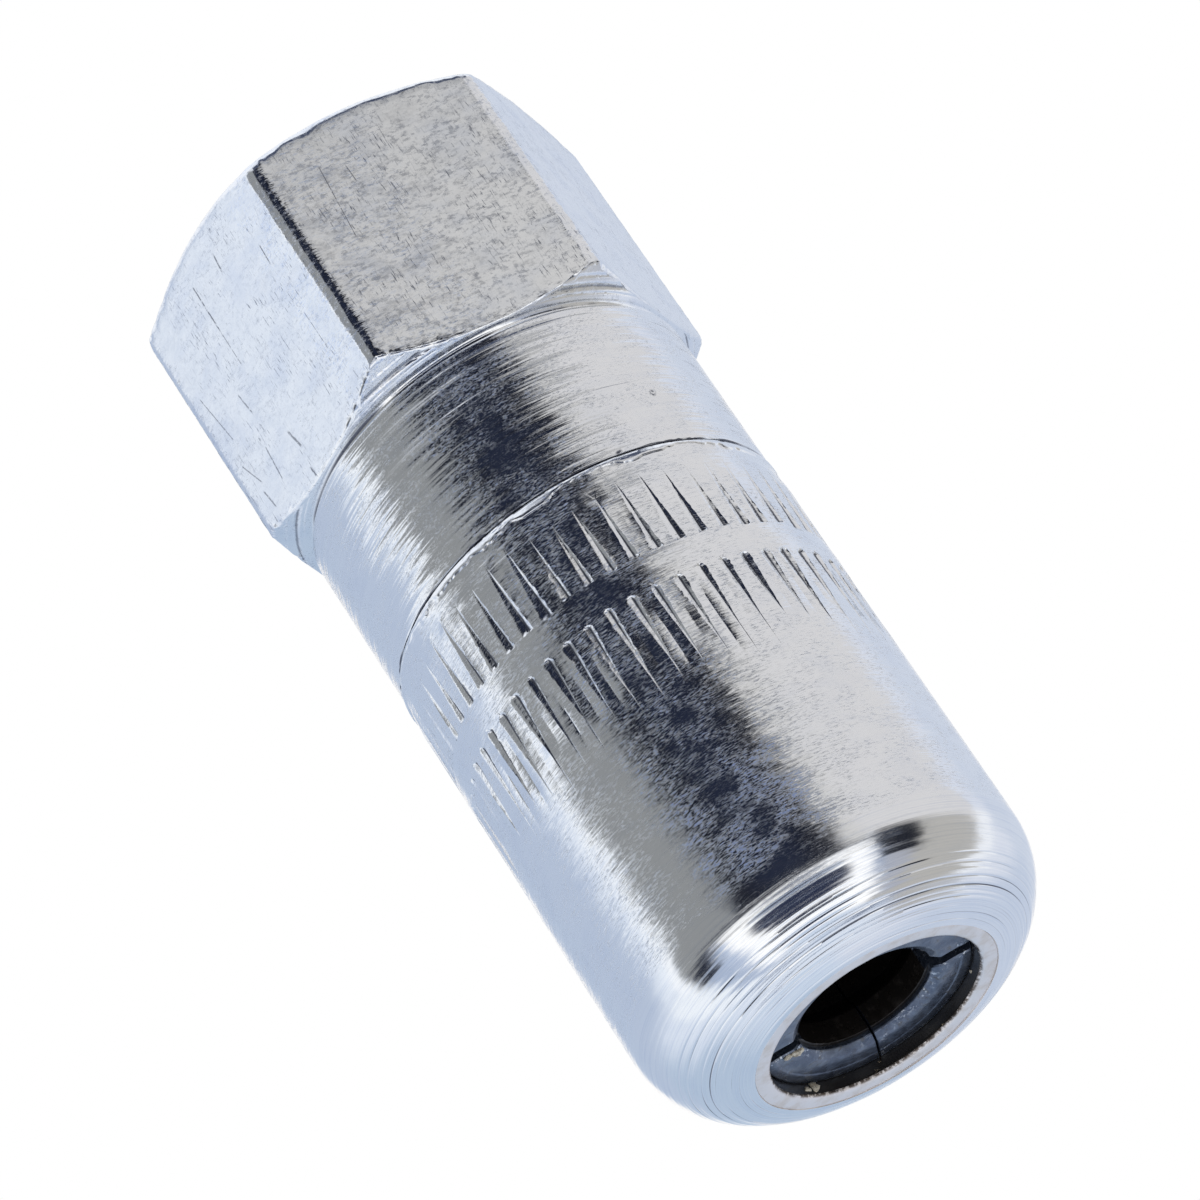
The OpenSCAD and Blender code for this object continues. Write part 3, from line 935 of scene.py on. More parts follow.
    def scored(self, rings: list[tuple]) -> list[tuple]:
        """Adds the tool's round scores to the front chamfer, between its rounded edges.

        Args:
            rings: Rings of the hex's front, whose fifth and sixth bound the chamfer.

        Returns:
            Radius, height and wear of each ring.
        """
        start, stop = rings[4], rings[5]
        made = rings[:5]
        for t in np.linspace(0, 1, self.score_rings + 2)[1:-1]:
            radius = start[0] + (stop[0] - start[0]) * t
            waver = radius + wander(self.rng, len(radius), 30, 0.006)
            depth = sum(cut * np.exp(-(((waver - r) / wide) ** 2)) for r, wide, cut in self.scores)
            depth = depth * np.minimum(1, (start[0] - stop[0]) * 3)
            height = start[1] + (stop[1] - start[1]) * t - 0.87 * depth
            made.append((radius - 0.5 * depth, height, -np.clip(depth / 0.06, 0, 1) * 0.66))
        return made + rings[5:]

    def groove(self, count: int) -> list[tuple]:
        """Rings of the round groove that parts the hex from the collar, with painted shade deepest at its
        bottom.
        """
        # Painted shade along the groove, patchy round it.
        darkening = np.clip(0.55 + wander(self.rng, count, 30, 0.3), 0, 1)
        return [(np.full(count, r), np.full(count, z), -share * darkening) for r, z, share in self.groove_spots]

    def outer_rows(self, count: int) -> list[tuple]:
        """Rings of the collar with their wear, from the groove to the seam's darkened face.

        Args:
            count: Number of points in a ring.

        Returns:
            Radius, height and wear of each ring.
        """
        lip = np.clip(0.05 + wander(self.rng, count, 5, 0.03), 0.02, 0.14)
        corners = [
            (self.groove_r, self.collar_z, 0),
            (self.collar_r - 0.05, self.collar_z + 0.02, 0.03),
            (self.collar_r, self.collar_z + 0.1, 0.05),
            (self.collar_r, self.seam_z - 0.2, 0),
            (self.collar_r, self.seam_z, lip),
            (self.spigot_r, self.seam_z, 0),
        ]
        rings = eased(corners, count)[1:-1]
        # The last rings before the seam are darkened, patchy round the collar.
        darkening = np.clip(0.6 + wander(self.rng, count, 12, 0.35), 0, 1)
        clean = len(rings) - self.darkened_rings
        return [(r, z, -darkening * (i >= clean)) for i, (r, z) in enumerate(rings)]

    def spigot_rows(self, azimuth: np.ndarray) -> Outline:
        """Rings of the spigot with its thread, from the seam to its chamfered end.

        Args:
            azimuth: Azimuth of each point, in radians.

        Returns:
            Radius and height of each ring.
        """
        rows = [(self.spigot_r, self.seam_z), (self.spigot_r, self.thread_from)]
        ends = self.spigot_top - self.spigot_chamfer
        step = self.thread_pitch / self.thread_rings
        for height in np.arange(self.thread_from + 0.1, self.spigot_top - 0.05, step):
            fade = min(1.0, (height - self.thread_from) / THREAD_RUN_OUT)
            cut = thread_depth(azimuth, height, self.thread_pitch, self.thread_cut) * fade
            chamfer = max(0.0, height - ends)
            rows.append((self.spigot_r - np.maximum(cut, chamfer), height))
        return [(np.broadcast_to(r, azimuth.shape), np.broadcast_to(z, azimuth.shape)) for r, z in rows]

    def inner_rows(self, azimuth: np.ndarray) -> Outline:
        """Rings of the bores, from the spigot's end down to the inlet.

        Args:
            azimuth: Azimuth of each point, in radians.

        Returns:
            Radius and height of each ring.
        """
        rings = eased([*self.bores, (self.inlet_r, self.inlet_depth, 0)], len(azimuth))
        step = self.inlet_pitch / self.inlet_rings
        for height in np.arange(self.inlet_thread, self.inlet_chamfer, -step):
            fade = min(1.0, (self.inlet_thread - height) / THREAD_RUN_OUT)
            cut = self.inlet_cut - thread_depth(azimuth, height, self.inlet_pitch, self.inlet_cut)
            rings.append((self.inlet_r + cut * fade, np.full(len(azimuth), height)))
        mouth = np.full(len(azimuth), self.inlet_r + self.inlet_chamfer)
        return rings + [(mouth, np.zeros(len(azimuth)))]

    def build(self, finishes: Finishes) -> None:
        """Builds the body and hides the CAD node that it stands for.

        Args:
            finishes: Every finish, by name.
        """
        shell = Shell()
        azimuth = self.columns()
        few = azimuth[:: self.thin_out]
        hexagon = shell.rings(self.hex_rows(azimuth), azimuth)
        collar = shell.rings(self.outer_rows(len(azimuth)), azimuth)
        spigot = shell.rings(self.spigot_rows(few), few)
        inside = shell.rings(self.inner_rows(few), few)
        shell.wrap([(hexagon, 0, 1), (collar, 1, 1), (spigot, 2, 2), (inside, 3, 1)])
        materials = [finishes[key] for key in ("drawn", "turned", "thread", "thread")]
        made = shell.piece("hex_body_shell", "body", materials)
        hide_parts("hex_body")


@dataclass
class NoseSleeve:
    """The knurled sleeve with two bands of tapered flutes and the cone inside its nose.

    Attributes:
        dips: Height, and how far the ground between the flutes lies below the plain bands there.
        section: Place across a flute, share of its depth and shift, and wear of each column.
        nose_scores: Angle up the nose in degrees, depth, half width and darkening of each scored line.
        burr: How far each ring of the burr stands out from the rear edge, and up from it.
        land: Radius, height and wear of each ring of the land.
    """

    rear_z: float = 17.7
    rear_r: float = 7.5
    barrel_r: float = 7.55
    swell_from: float = 18.35
    swell_to: float = 19.15
    dips: tuple[Pair, ...] = (
        (19.0, 0.0), (19.8, 0.02), (21.5, 0.028), (21.8, 0.008), (22.25, 0.0), (22.75, 0.006),
        (23.1, 0.028), (25.0, 0.02), (25.8, 0.0),
    )
    flutes: int = 54
    flute_phase: float = 287.8
    flute_half: float = 0.21
    flute_depth: float = 0.095
    flute_burr: float = 0.009
    hair: float = 0.028
    land_haze: float = 0.75
    rear_rings: Triple = (18.3, 18.4, 18.5)
    rear_tip: float = 18.75
    rear_end: float = 21.6
    middle_rings: tuple[float, ...] = (21.8, 21.95, 22.1, 22.3, 22.5, 22.7)
    front_head: float = 22.85
    front_tip: float = 25.65
    streak_end: float = 27.3
    barrel_rings: int = 8
    nose_r: float = 3.4
    nose_z: float = 33.75
    nose_end_r: float = 4.64
    nose_rings: int = 84
    mouth_r: float = 4.0
    bore_r: float = 6.0
    bore_head: Triple = (31.52, 29.0, 25.6)
    bore_tail: tuple[Pair, ...] = (
        (6.0, 19.2), (6.0, 19.13), (6.75, 19.13), (6.75, 18.27), (6.0, 18.27), (6.0, 17.95), (6.25, 17.7),
    )
    thread_from: float = 19.4
    thread_to: float = 25.4
    thread_pitch: float = 1.0
    thread_cut: float = 0.42
    thread_rings: int = 9
    between: float = 0.05
    section: tuple[Four, ...] = (
        (-1.35, 0.0, 0.8, 0.5), (-1.0, 0.0, 1.0, 0.0), (-0.88, 0.17, 1.0, 0.0), (-0.42, 0.77, 1.0, -0.7),
        (-0.25, 1.0, 1.0, -1.0), (0.1, 0.72, 1.0, -0.25), (0.55, 0.36, 1.0, 0.0), (1.0, 0.0, 1.0, 0.0),
        (1.35, 0.0, 0.8, 0.5),
    )
    nose_scores: tuple[Four, ...] = (
        (38.0, 0.008, 0.03, 0.44), (43.0, 0.012, 0.03, 0.54), (46.2, 0.008, 0.025, 0.42),
        (51.0, 0.014, 0.035, 0.58), (56.0, 0.022, 0.045, 0.70), (59.3, 0.008, 0.03, 0.45),
        (62.4, 0.012, 0.03, 0.53), (66.6, 0.006, 0.025, 0.42), (68.2, 0.010, 0.03, 0.52),
        (72.4, 0.008, 0.03, 0.48), (77.0, 0.010, 0.03, 0.50),
    )
    burr: tuple[Pair, ...] = (
        (-0.16, 0.0), (-0.05, 0.008), (-0.03, 0.02), (0.0, 0.1), (0.03, 0.2), (0.046, 0.27),
        (0.04, 0.3), (0.012, 0.33), (-0.004, 0.37), (0.0, 0.5),
    )
    land: tuple[Triple, ...] = (
        (4.625, 37.05, 0.6), (4.605, 37.068, 0.2), (4.5, 37.07, 0.0), (4.3, 37.07, 0.0),
        (4.16, 37.066, 0.15), (4.08, 37.05, 0.5), (4.03, 37.01, 0.9), (4.0, 36.95, 1.0),
    )
    wall: tuple[float, ...] = (36.86, 36.7, 36.47)
    per_flute: int = 12
    thin_out: int = 3
    rng: np.random.Generator = seeded(23)

    def __post_init__(self) -> None:
        """Works out the columns and each flute's own small differences."""
        self.count = self.flutes * self.per_flute
        self.pitch = math.tau * self.barrel_r / self.flutes
        each = self.flutes
        self.length_shift = self.rng.uniform(-0.22, 0.22, (2, each))
        self.end_shift = self.rng.normal(0, 0.035, (2, each))
        self.width = 1 + self.rng.normal(0, 0.08, (2, each))
        self.depth = 1 + self.rng.normal(0, 0.12, (2, each))
        self.streak_from = self.rng.uniform(23.0, 24.2, each)
        self.streak_to = self.rng.uniform(25.2, self.streak_end - 0.1, each)
        self.streak_cut = self.rng.uniform(0.004, 0.026, each)
        self.tail = self.rng.uniform(0.4, 1.8, each)
        self.tail_cut = self.rng.uniform(0.008, 0.022, each)

    def flute_row(self, height: float, half: np.ndarray, depth: np.ndarray, shift: np.ndarray) -> tuple:
        """One ring of the knurl.

        Args:
            height: Height of the ring.
            half: Half of each flute's width.
            depth: Depth of each flute.
            shift: How far each flute's part of the ring is moved along the axis.

        Returns:
            Azimuth, radius, height and wear of each point.
        """
        full = np.ones(self.flutes)
        half = np.maximum(half, self.hair)
        ragged = [self.ragged() for _ in self.section]
        rest = self.pitch / 2 - self.between
        burr = np.minimum(0.12 * depth, self.flute_burr)
        time = np.clip((height - self.streak_from) / (self.streak_to - self.streak_from), 0, 1)
        streak = self.streak_cut * np.sin(math.pi * time) ** 0.6
        full_drops = [share * depth - (burr if at in (-1.0, 1.0) else 0) for at, share, _, _ in self.section]
        offsets = [-rest * full, *(half * at * r for (at, _, _, _), r in zip(self.section, ragged))]
        offsets += [rest * full, self.pitch / 2 * full]
        drops = [0 * depth, *full_drops, 0 * depth, streak]
        shares = (0.15, *(share for _, _, share, _ in self.section), 0.15, 0.0)
        land = np.clip(half / self.flute_half * 1.2 - 0.25, 0, 1) * self.land_haze
        darkening = np.clip(depth / self.flute_depth * 1.6 - 0.2, 0, 1)
        worn = [land, *(land * w if w > 0 else darkening * w for _, _, _, w in self.section), land, land]
        worn = np.stack(worn, 1)
        centre = np.radians(self.flute_phase) + np.arange(self.flutes) * math.tau / self.flutes
        azimuth = centre[:, None] + np.stack(offsets, 1) / self.barrel_r
        radius = np.minimum(self.ground(height) - np.stack(drops, 1), self.barrel_r)
        heights = height + np.outer(shift, shares)
        return azimuth.ravel(), radius.ravel(), heights.ravel(), worn.ravel()

    def ragged(self) -> np.ndarray:
        """Small random changes of width along one side of the flutes."""
        return 1 + self.rng.normal(0, 0.07, self.flutes)

    def ground(self, height: float) -> float:
        """Radius of the ground between the flutes at a height."""
        swell = np.clip((height - self.swell_from) / (self.swell_to - self.swell_from), 0, 1)
        return self.rear_r + (self.barrel_r - self.rear_r) * swell - np.interp(height, *zip(*self.dips))

    def plain_row(self, height: float) -> tuple:
        """One ring of the knurl's ground, with evenly spaced columns.

        Args:
            height: Height of the ring.

        Returns:
            Azimuth, radius, height and wear of each point.
        """
        turn = np.arange(self.count) - self.per_flute / 2 + 1
        azimuth = math.radians(self.flute_phase) + turn * math.tau / self.count
        return azimuth, *(np.full(self.count, v) for v in (self.ground(height), height, 0.0))

    def rear_band(self) -> list[tuple]:
        """Rings of the band whose points face the seam.

        Returns:
            Azimuth, radius, height and wear of each ring.
        """
        rows = []
        for s in np.linspace(0, 1, 25):
            height = self.rear_tip + s * (self.rear_end - self.rear_tip)
            shift = self.length_shift[0] * (1 - s) + self.end_shift[0] * s
            half = self.hair + (self.flute_half - self.hair) * self.width[0] * s
            rows.append(self.flute_row(height, half, self.flute_depth * self.depth[0] * s, shift))
        last = self.flute_half * self.width[0]
        for step, share in ((0.025, 0.45), (0.055, -0.06), (0.1, 0.0)):
            depth = self.flute_depth * self.depth[0] * share
            rows.append(self.flute_row(self.rear_end + step, last, depth, self.end_shift[0]))
        return rows

    def front_band(self) -> list[tuple]:
        """Rings of the band with round heads, which runs out towards the nose.

        Returns:
            Azimuth, radius, height and wear of each ring.
        """
        rows = []
        widest = self.flute_half * self.width[1]
        deepest = self.flute_depth * self.depth[1]
        start = self.front_head + self.flute_half
        for angle in np.radians([0, 18, 36, 54, 72, 90]):
            height = start - self.flute_half * math.cos(angle)
            half = widest * max(math.sin(angle), 0.25)
            rows.append(self.flute_row(height, half, deepest * math.sin(angle) ** 1.2, self.end_shift[1]))
        for s in np.linspace(0, 1, 24)[1:]:
            height = start + s * (self.front_tip - start)
            shift = self.length_shift[1] * s + self.end_shift[1] * (1 - s)
            half = self.hair + (widest - self.hair) * (1 - s)
            rows.append(self.flute_row(height, half, deepest * (1 - s) + self.tail_cut * s, shift))
        for height in np.arange(self.front_tip + 0.12, self.streak_end, 0.15):
            left = np.clip(1 - (height - self.front_tip) / self.tail, 0, 1)
            rows.append(self.flute_row(height, 0 * left, self.tail_cut * left, self.length_shift[1] * left))
        return rows

    def nose_rows(self) -> list[tuple]:
        """Rings of the rounded nose, with the shallow lines and the scores that the tool left.

        Returns:
            Radius, height and wear of each ring.
        """
        last = math.acos((self.nose_end_r - self.barrel_r + self.nose_r) / self.nose_r)
        spots = [(a, 0.0, 0.0) for a in np.linspace(0, last, self.nose_rings)]
        for degrees, cut, half, darkening in self.nose_scores:
            middle, wide = math.radians(degrees), half / self.nose_r
            spots = [spot for spot in spots if abs(spot[0] - middle) > wide + 0.01]
            for side in (-1.0, -0.3, 0.3, 1.0):
                spots.append((middle + side * wide, cut * (abs(side) < 1), darkening * (abs(side) < 1)))
        spots.sort()
        angles = np.array([spot[0] for spot in spots])
        lines = np.convolve(self.rng.normal(0, 1, len(angles)), [0.35, 1, 0.35], "same")
        size = np.interp(angles, [0, 0.3, 0.6, last], [0.0007, 0.0018, 0.0032, 0.0036])
        rows = []
        for (angle, cut, darkening), line, amount in zip(spots, lines, size):
            wave = 1 + wander(self.rng, self.count, 90, 0.4)
            faint = np.clip(0.95 + wander(self.rng, self.count, 80, 0.3), 0.2, 1.35)
            r = self.nose_r - amount * np.maximum(2.2 + line * wave, 0.8) - cut * faint
            away, up = r * math.cos(angle), r * math.sin(angle)
            rows.append((self.barrel_r - self.nose_r + away, self.nose_z + up, -darkening * faint))
        return rows

    def build(self, finishes: Finishes) -> None:
        """Builds the sleeve and hides the CAD node that it stands for.

        Args:
            finishes: Every finish, by name.
        """
        shell = Shell()
        even = self.plain_row(0)[0]
        outside = shell.rings(self.burr_rows(), even)
        knurl = [self.plain_row(z) for z in self.rear_rings] + self.rear_band()
        knurl += [self.plain_row(z) for z in self.middle_rings] + self.front_band()
        for azimuth, radius, height, wear in knurl:
            outside.append(shell.ring(radius, height, azimuth, wear))
        barrel = np.linspace(self.streak_end + 0.2, self.nose_z - 0.3, self.barrel_rings)
        outside += shell.rings([(self.barrel_r, z) for z in barrel], even)
        outside += shell.rings(self.nose_rows(), even)
        land = shell.rings(self.land_rows(), even)
        few = even[:: self.thin_out]
        wall = shell.rings([(self.mouth_r, z) for z in self.wall], few)
        inside = shell.rings(self.bore_rows(few), few)
        shell.wrap([(outside, 0, 1), (land, 1, 2), (wall, 2, 3), (inside, 3, 0)])
        materials = [finishes[key] for key in ("sleeve", "land", "mouth", "bore")]
        made = shell.piece("nose_sleeve_shell", "sleeve", materials)
        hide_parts("nose_sleeve")

    def burr_rows(self) -> Outline:
        """Rings of the rear edge, with the thin burr that the tool rolled over.

        Returns:
            Radius and height of each ring.
        """
        slow = wander(self.rng, self.count, 70, 0.25)
        size = 0.85 + slow + wander(self.rng, self.count, 18, 0.14) + wander(self.rng, self.count, 4, 0.07)
        size = np.clip(size, 0.35, 1.25)
        rows = []
        for away, up in self.burr:
            radius = self.rear_r + (away * size if away > 0 else away + 0 * size)
            height = self.rear_z + up * (1 if up in (0.0, 0.5) else size)
            rows.append((np.minimum(radius, self.barrel_r - 0.002), height))
        return rows

    def land_rows(self) -> list[tuple]:
        """Rings of the bare land, with its scored rim and the worn edge of the mouth.

        Returns:
            Radius, height and wear of each ring.
        """
        rows = []
        for r, z, wear in self.land:
            waver = wander(self.rng, self.count, 25, 0.005) if wear else 0.0
            rows.append((np.maximum(r + waver, self.mouth_r), z, wear))
        return rows

    def bore_rows(self, azimuth: np.ndarray) -> Outline:
        """Rings of the inside, from the jaws' cone down to the sleeve's rear edge.

        Args:
            azimuth: Azimuth of each point, in radians.

        Returns:
            Radius and height of each ring.
        """
        full = np.full(len(azimuth), 1.0)
        rows = [(self.bore_r * full, z * full) for z in self.bore_head]
        step = self.thread_pitch / self.thread_rings
        for height in np.arange(self.thread_to, self.thread_from, -step):
            inside = min(self.thread_to - height, height - self.thread_from)
            fade = min(1.0, inside / THREAD_RUN_OUT)
            cut = thread_depth(azimuth, height, self.thread_pitch, self.thread_cut)
            rows.append((self.bore_r - cut * fade, height * full))
        return rows + [(r * full, z * full) for r, z in self.bore_tail]


@dataclass
class JawCollet:
    """The four hardened jaws, slit from one turned collet, with worn edges.

    Attributes:
        corners: Radius, height and rounding of each corner of the turned section.
    """

    phase: float = 9.3
    half_slits: Pair = (0.28, 0.04)
    wide_from: float = 0.1
    corner_r: float = 0.42
    step_r: float = 2.45
    bevel: float = 0.05
    columns: int = 30
    slit_wear: float = 0.7
    roughness: float = 0.0015
    corners: tuple[Triple, ...] = (
        (3.35, 29.37, 0.06), (4.7, 29.37, 0.08), (5.0, 29.67, 0.08), (5.0, 33.92, 0.1),
        (3.97, 36.47, 0.05), (3.62, 36.47, 0.02), (3.55, 36.455, 0.02), (3.2, 36.455, 0.0),
        (2.86, 36.46, 0.05), (2.55, 36.27, 0.07), (2.55, 36.07, 0.0), (2.45, 36.07, 0.02),
        (2.45, 35.17, 0.03), (3.35, 34.27, 0.0), (3.35, 31.22, 0.0), (3.95, 31.22, 0.0),
        (3.95, 30.32, 0.0), (3.35, 30.32, 0.0),
    )
    bodies: tuple[str, ...] = ("jaw_a", "jaw_b", "jaw_c", "jaw_d")
    rng: np.random.Generator = seeded(31)

    def section(self) -> tuple[np.ndarray, np.ndarray, np.ndarray]:
        """Works out the turned section with its rounded corners, outside first.

        Returns:
            Radius, height and wear of each point.
        """
        radius, height = np.array(eased(self.corners, 1))[:, :, 0].T
        near_hole = np.clip(1 - np.abs(radius - 2.66) / 0.2, 0, 1) * (height > 36.1)
        rim = np.clip(1 - np.abs(radius - 3.95) / 0.1, 0, 1) * (height > 36.3) * 0.5
        # Painted shade on the walls of the hole below the jaw's front face.
        hole_shade = np.clip((36.28 - height) / 0.3, 0, 1) * (radius < 3.4)
        return radius, height, near_hole + rim - hole_shade

    def inset(self, radius: np.ndarray, height: np.ndarray, amount: float) -> tuple[np.ndarray, np.ndarray]:
        """Draws the section in by an amount, for the bevel along a slit.

        Args:
            radius: Radius of each point.
            height: Height of each point.
            amount: Width of the bevel.

        Returns:
            Radius and height of each point.
        """
        ahead = np.stack([np.roll(line, -1) - np.roll(line, 1) for line in (radius, height)])
        ahead = ahead / np.maximum(np.hypot(*ahead), SHORTEST)
        return radius - ahead[1] * amount, height + ahead[0] * amount

    def limit(self, radius: np.ndarray, half: float) -> np.ndarray:
        """Angle from the middle of a slit to its wall, which is rounded off where it meets the hole.

        Args:
            radius: Radius of each point.
            half: Half of the slit's width.

        Returns:
            The angle at each point, in radians.
        """
        reach = np.clip(self.corner_r - (radius - self.step_r), 0, self.corner_r)
        wide = self.corner_r - np.sqrt(self.corner_r**2 - reach**2) if half > self.wide_from else 0.0
        return np.arcsin((half + wide) / radius)

    def build(self, finish: bpy.types.Material) -> None:
        """Builds the jaws and hides the CAD nodes that they stand for.

        Args:
            finish: The jaws' finish.
        """
        radius, height, wear = self.section()
        for k, body in enumerate(self.bodies):
            shell = Shell()
            first, last = self.half_slits[k % 2], self.half_slits[(k + 1) % 2]
            base = math.radians(self.phase + 90 * k)
            low = base + self.limit(radius, first)
            high = base + math.pi / 2 - self.limit(radius, last)
            edges = [self.bevel if half > self.wide_from else self.bevel / 3 for half in (first, last)]
            side = self.spots(*self.inset(radius, height, edges[0]), low)
            columns = [shell.points(side, self.slit_wear)]
            for t in np.linspace(0, 1, self.columns):
                azimuth = low + edges[0] / radius + (high - low - sum(edges) / radius) * t
                near = max(0.0, 1 - min(t, 1 - t) * 12)
                worn = np.where(wear < 0, wear, np.minimum(wear + near, 1))
                columns.append(shell.points(self.spots(radius, height, azimuth), worn))
            side = self.spots(*self.inset(radius, height, edges[1]), high)
            columns.append(shell.points(side, self.slit_wear))
            shell.skin(columns[::-1])
            shell.cap(columns[0])
            shell.cap(columns[-1][::-1])
            made = shell.piece(f"jaw_{k + 1}_shell", body, [finish], 30)
            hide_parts(f"jaw_{k + 1}")

    def spots(self, radius: np.ndarray, height: np.ndarray, azimuth: np.ndarray) -> np.ndarray:
        """Points of one column, with the slight unevenness of hardened steel."""
        away = radius + self.rng.normal(0, self.roughness, len(radius))
        return np.stack([away * np.cos(azimuth), away * np.sin(azimuth), height], 1)


@dataclass
class Crumbs:
    """Dried grease in the mouth, in small uneven lumps that lie on what carries them.

    Attributes:
        lumps: Body, centre, outward direction and size of each lump.
        layers: Width and height of each ring of a lump, as shares of its size.
    """

    lumps: tuple[tuple[str, Triple, Triple, float], ...] = (
        ("sleeve", (2.347, 3.239, 36.75), (-0.587, -0.81, 0.0), 0.13),
        ("sleeve", (2.02, 3.452, 36.66), (-0.505, -0.863, 0.0), 0.19),
        ("sleeve", (-3.91, 0.844, 36.6), (0.977, -0.211, 0.0), 0.07),
        ("jaw_a", (2.66, 0.95, 36.46), (0.1, 0.0, 1.0), 0.2),
        ("jaw_a", (3.0, 0.95, 36.48), (0.0, 0.0, 1.0), 0.13),
    )
    layers: tuple[Pair, ...] = (
        (1.0, -0.12), (1.0, 0.06), (0.86, 0.3), (0.6, 0.46), (0.26, 0.5),
    )
    sides: int = 14
    rng: np.random.Generator = seeded(41)

    def build(self, finish: bpy.types.Material) -> None:
        """Builds one piece for each lump.

        Args:
            finish: The grease's finish.
        """
        for number, (body, centre, outwards, size) in enumerate(self.lumps, 1):
            out = Vector(outwards).normalized()
            side = out.orthogonal().normalized()
            axes = np.array([side, out.cross(side), out])
            shell = Shell()
            turn = np.linspace(0, math.tau, self.sides + 1)[:-1]
            waver = 1 + wander(self.rng, self.sides, 2, 0.22)
            rings = []
            for share, lift in self.layers:
                reach = size * share * (waver + self.rng.normal(0, 0.07, self.sides))
                rise = size * (lift + self.rng.normal(0, 0.05, self.sides) * (share < 1))
                spots = np.stack([reach * np.cos(turn), reach * np.sin(turn), rise], 1)
                rings.append(shell.points(np.array(centre) + spots @ axes))
            shell.skin(rings)
            shell.cap(rings[0][::-1])
            shell.cap(rings[-1])
            shell.piece(f"grease_crumb_{number}", body, [finish], 60)


@dataclass(frozen=True)
class Coil:
    """An open wire spring with flat ends."""

    node: str
    joint: str
    travel: float
    wire: float
    turns: float
    held_low: bool = True
    steps: int = 40
    sides: int = 12

    def build(self, finish: bpy.types.Material) -> None:
        """Builds the spring and hides the CAD node that it stands for.

        Args:
            finish: The wire's finish.
        """
        low, high = (np.array(corner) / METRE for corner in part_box(self.node))
        length = high[2] - low[2]
        turn = np.arange(round(self.turns * self.steps) + 1) / self.steps
        climb = np.clip((turn - 0.5) / (self.turns - 1), 0, 1)
        around = -math.tau * np.arange(self.sides) / self.sides
        away = high[0] - self.wire / 2 * (1 - np.cos(around))
        up = low[2] + self.wire / 2 * (1 + np.sin(around))
        shell = Shell()
        rings = []
        for azimuth, rise in zip(math.tau * turn, (length - self.wire) * climb):
            rings.append(shell.ring(away, up + rise, np.full(self.sides, azimuth)))
        shell.skin(rings)
        shell.cap(rings[0][::-1])
        shell.cap(rings[-1])
        made = shell.piece(f"{self.node}_coil", "body", [finish])
        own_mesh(made)
        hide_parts(self.node)


@dataclass
class Dressing:
    """Hands the finishes to the CAD nodes that keep their own shape."""

    slots: dict[str, Slot] = field(default_factory=lambda: {
        "check_ball": Slot.BRIGHT, "check_retainer": Slot.BRIGHT, "seal_piston": Slot.BRIGHT,
        "jaw_washer": Slot.BRIGHT, "spring_washer": Slot.BRIGHT,
        "piston_snap_ring": Slot.SPRING, "jaw_spring": Slot.SPRING,
        "nose_seal": Slot.NITRILE, "piston_o_ring": Slot.NITRILE, "sleeve_o_ring": Slot.NITRILE,
        "backup_ring": Slot.PLASTIC,
    })

    def dress(self, finishes: Finishes) -> None:
        """Puts each node's finish in all of its material slots.

        Args:
            finishes: Every finish, by name.
        """
        for name, slot in self.slots.items():
            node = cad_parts[name]
            for place in node.material_slots:
                place.material = finishes[slot.value]
            LOG.info("%s: dressed as %s", name, slot.value)


# Studio


@dataclass(frozen=True)
class Panel:
    """A card, window or dark gap in the studio that the plating reflects.

    Azimuth is counted from the camera's own and elevation from the horizon, in degrees.
    """

    west: float
    east: float
    low: float
    high: float
    screen: tuple[int, int, int]
    soft: float = 4.0
    oval: bool = False
    lean: float = 0.0
    glow: float = 1.0
    squareness: float = 2.6

    def mask(self, azimuth: Value, elevation: Value) -> Value:
        """How much of the panel is seen in a direction.

        Args:
            azimuth: Azimuth of the direction.
            elevation: Elevation of the direction.

        Returns:
            A value from 0 to 1.
        """
        middle, half = (self.west + self.east) / 2, (self.east - self.west) / 2
        level, rise = (self.low + self.high) / 2, (self.high - self.low) / 2
        across = abs(azimuth - middle)
        up = abs(elevation - azimuth * self.lean - level)
        if self.oval:
            power = self.squareness
            reach = ((across / half) ** power + (up / rise) ** power) ** (1 / power)
            width = self.soft / rise
            return reach.rise(1 + width / 2, 1 - width / 2)
        inside = across.rise(half + self.soft / 2, half - self.soft / 2)
        return inside * up.rise(rise + self.soft / 2, rise - self.soft / 2)

    def light(self, plating: Triple) -> Colour:
        """The light that gives the panel's colour once the plating has dimmed it."""
        return (*(c * self.glow / dim for c, dim in zip(linear(*self.screen), plating)), 1.0)


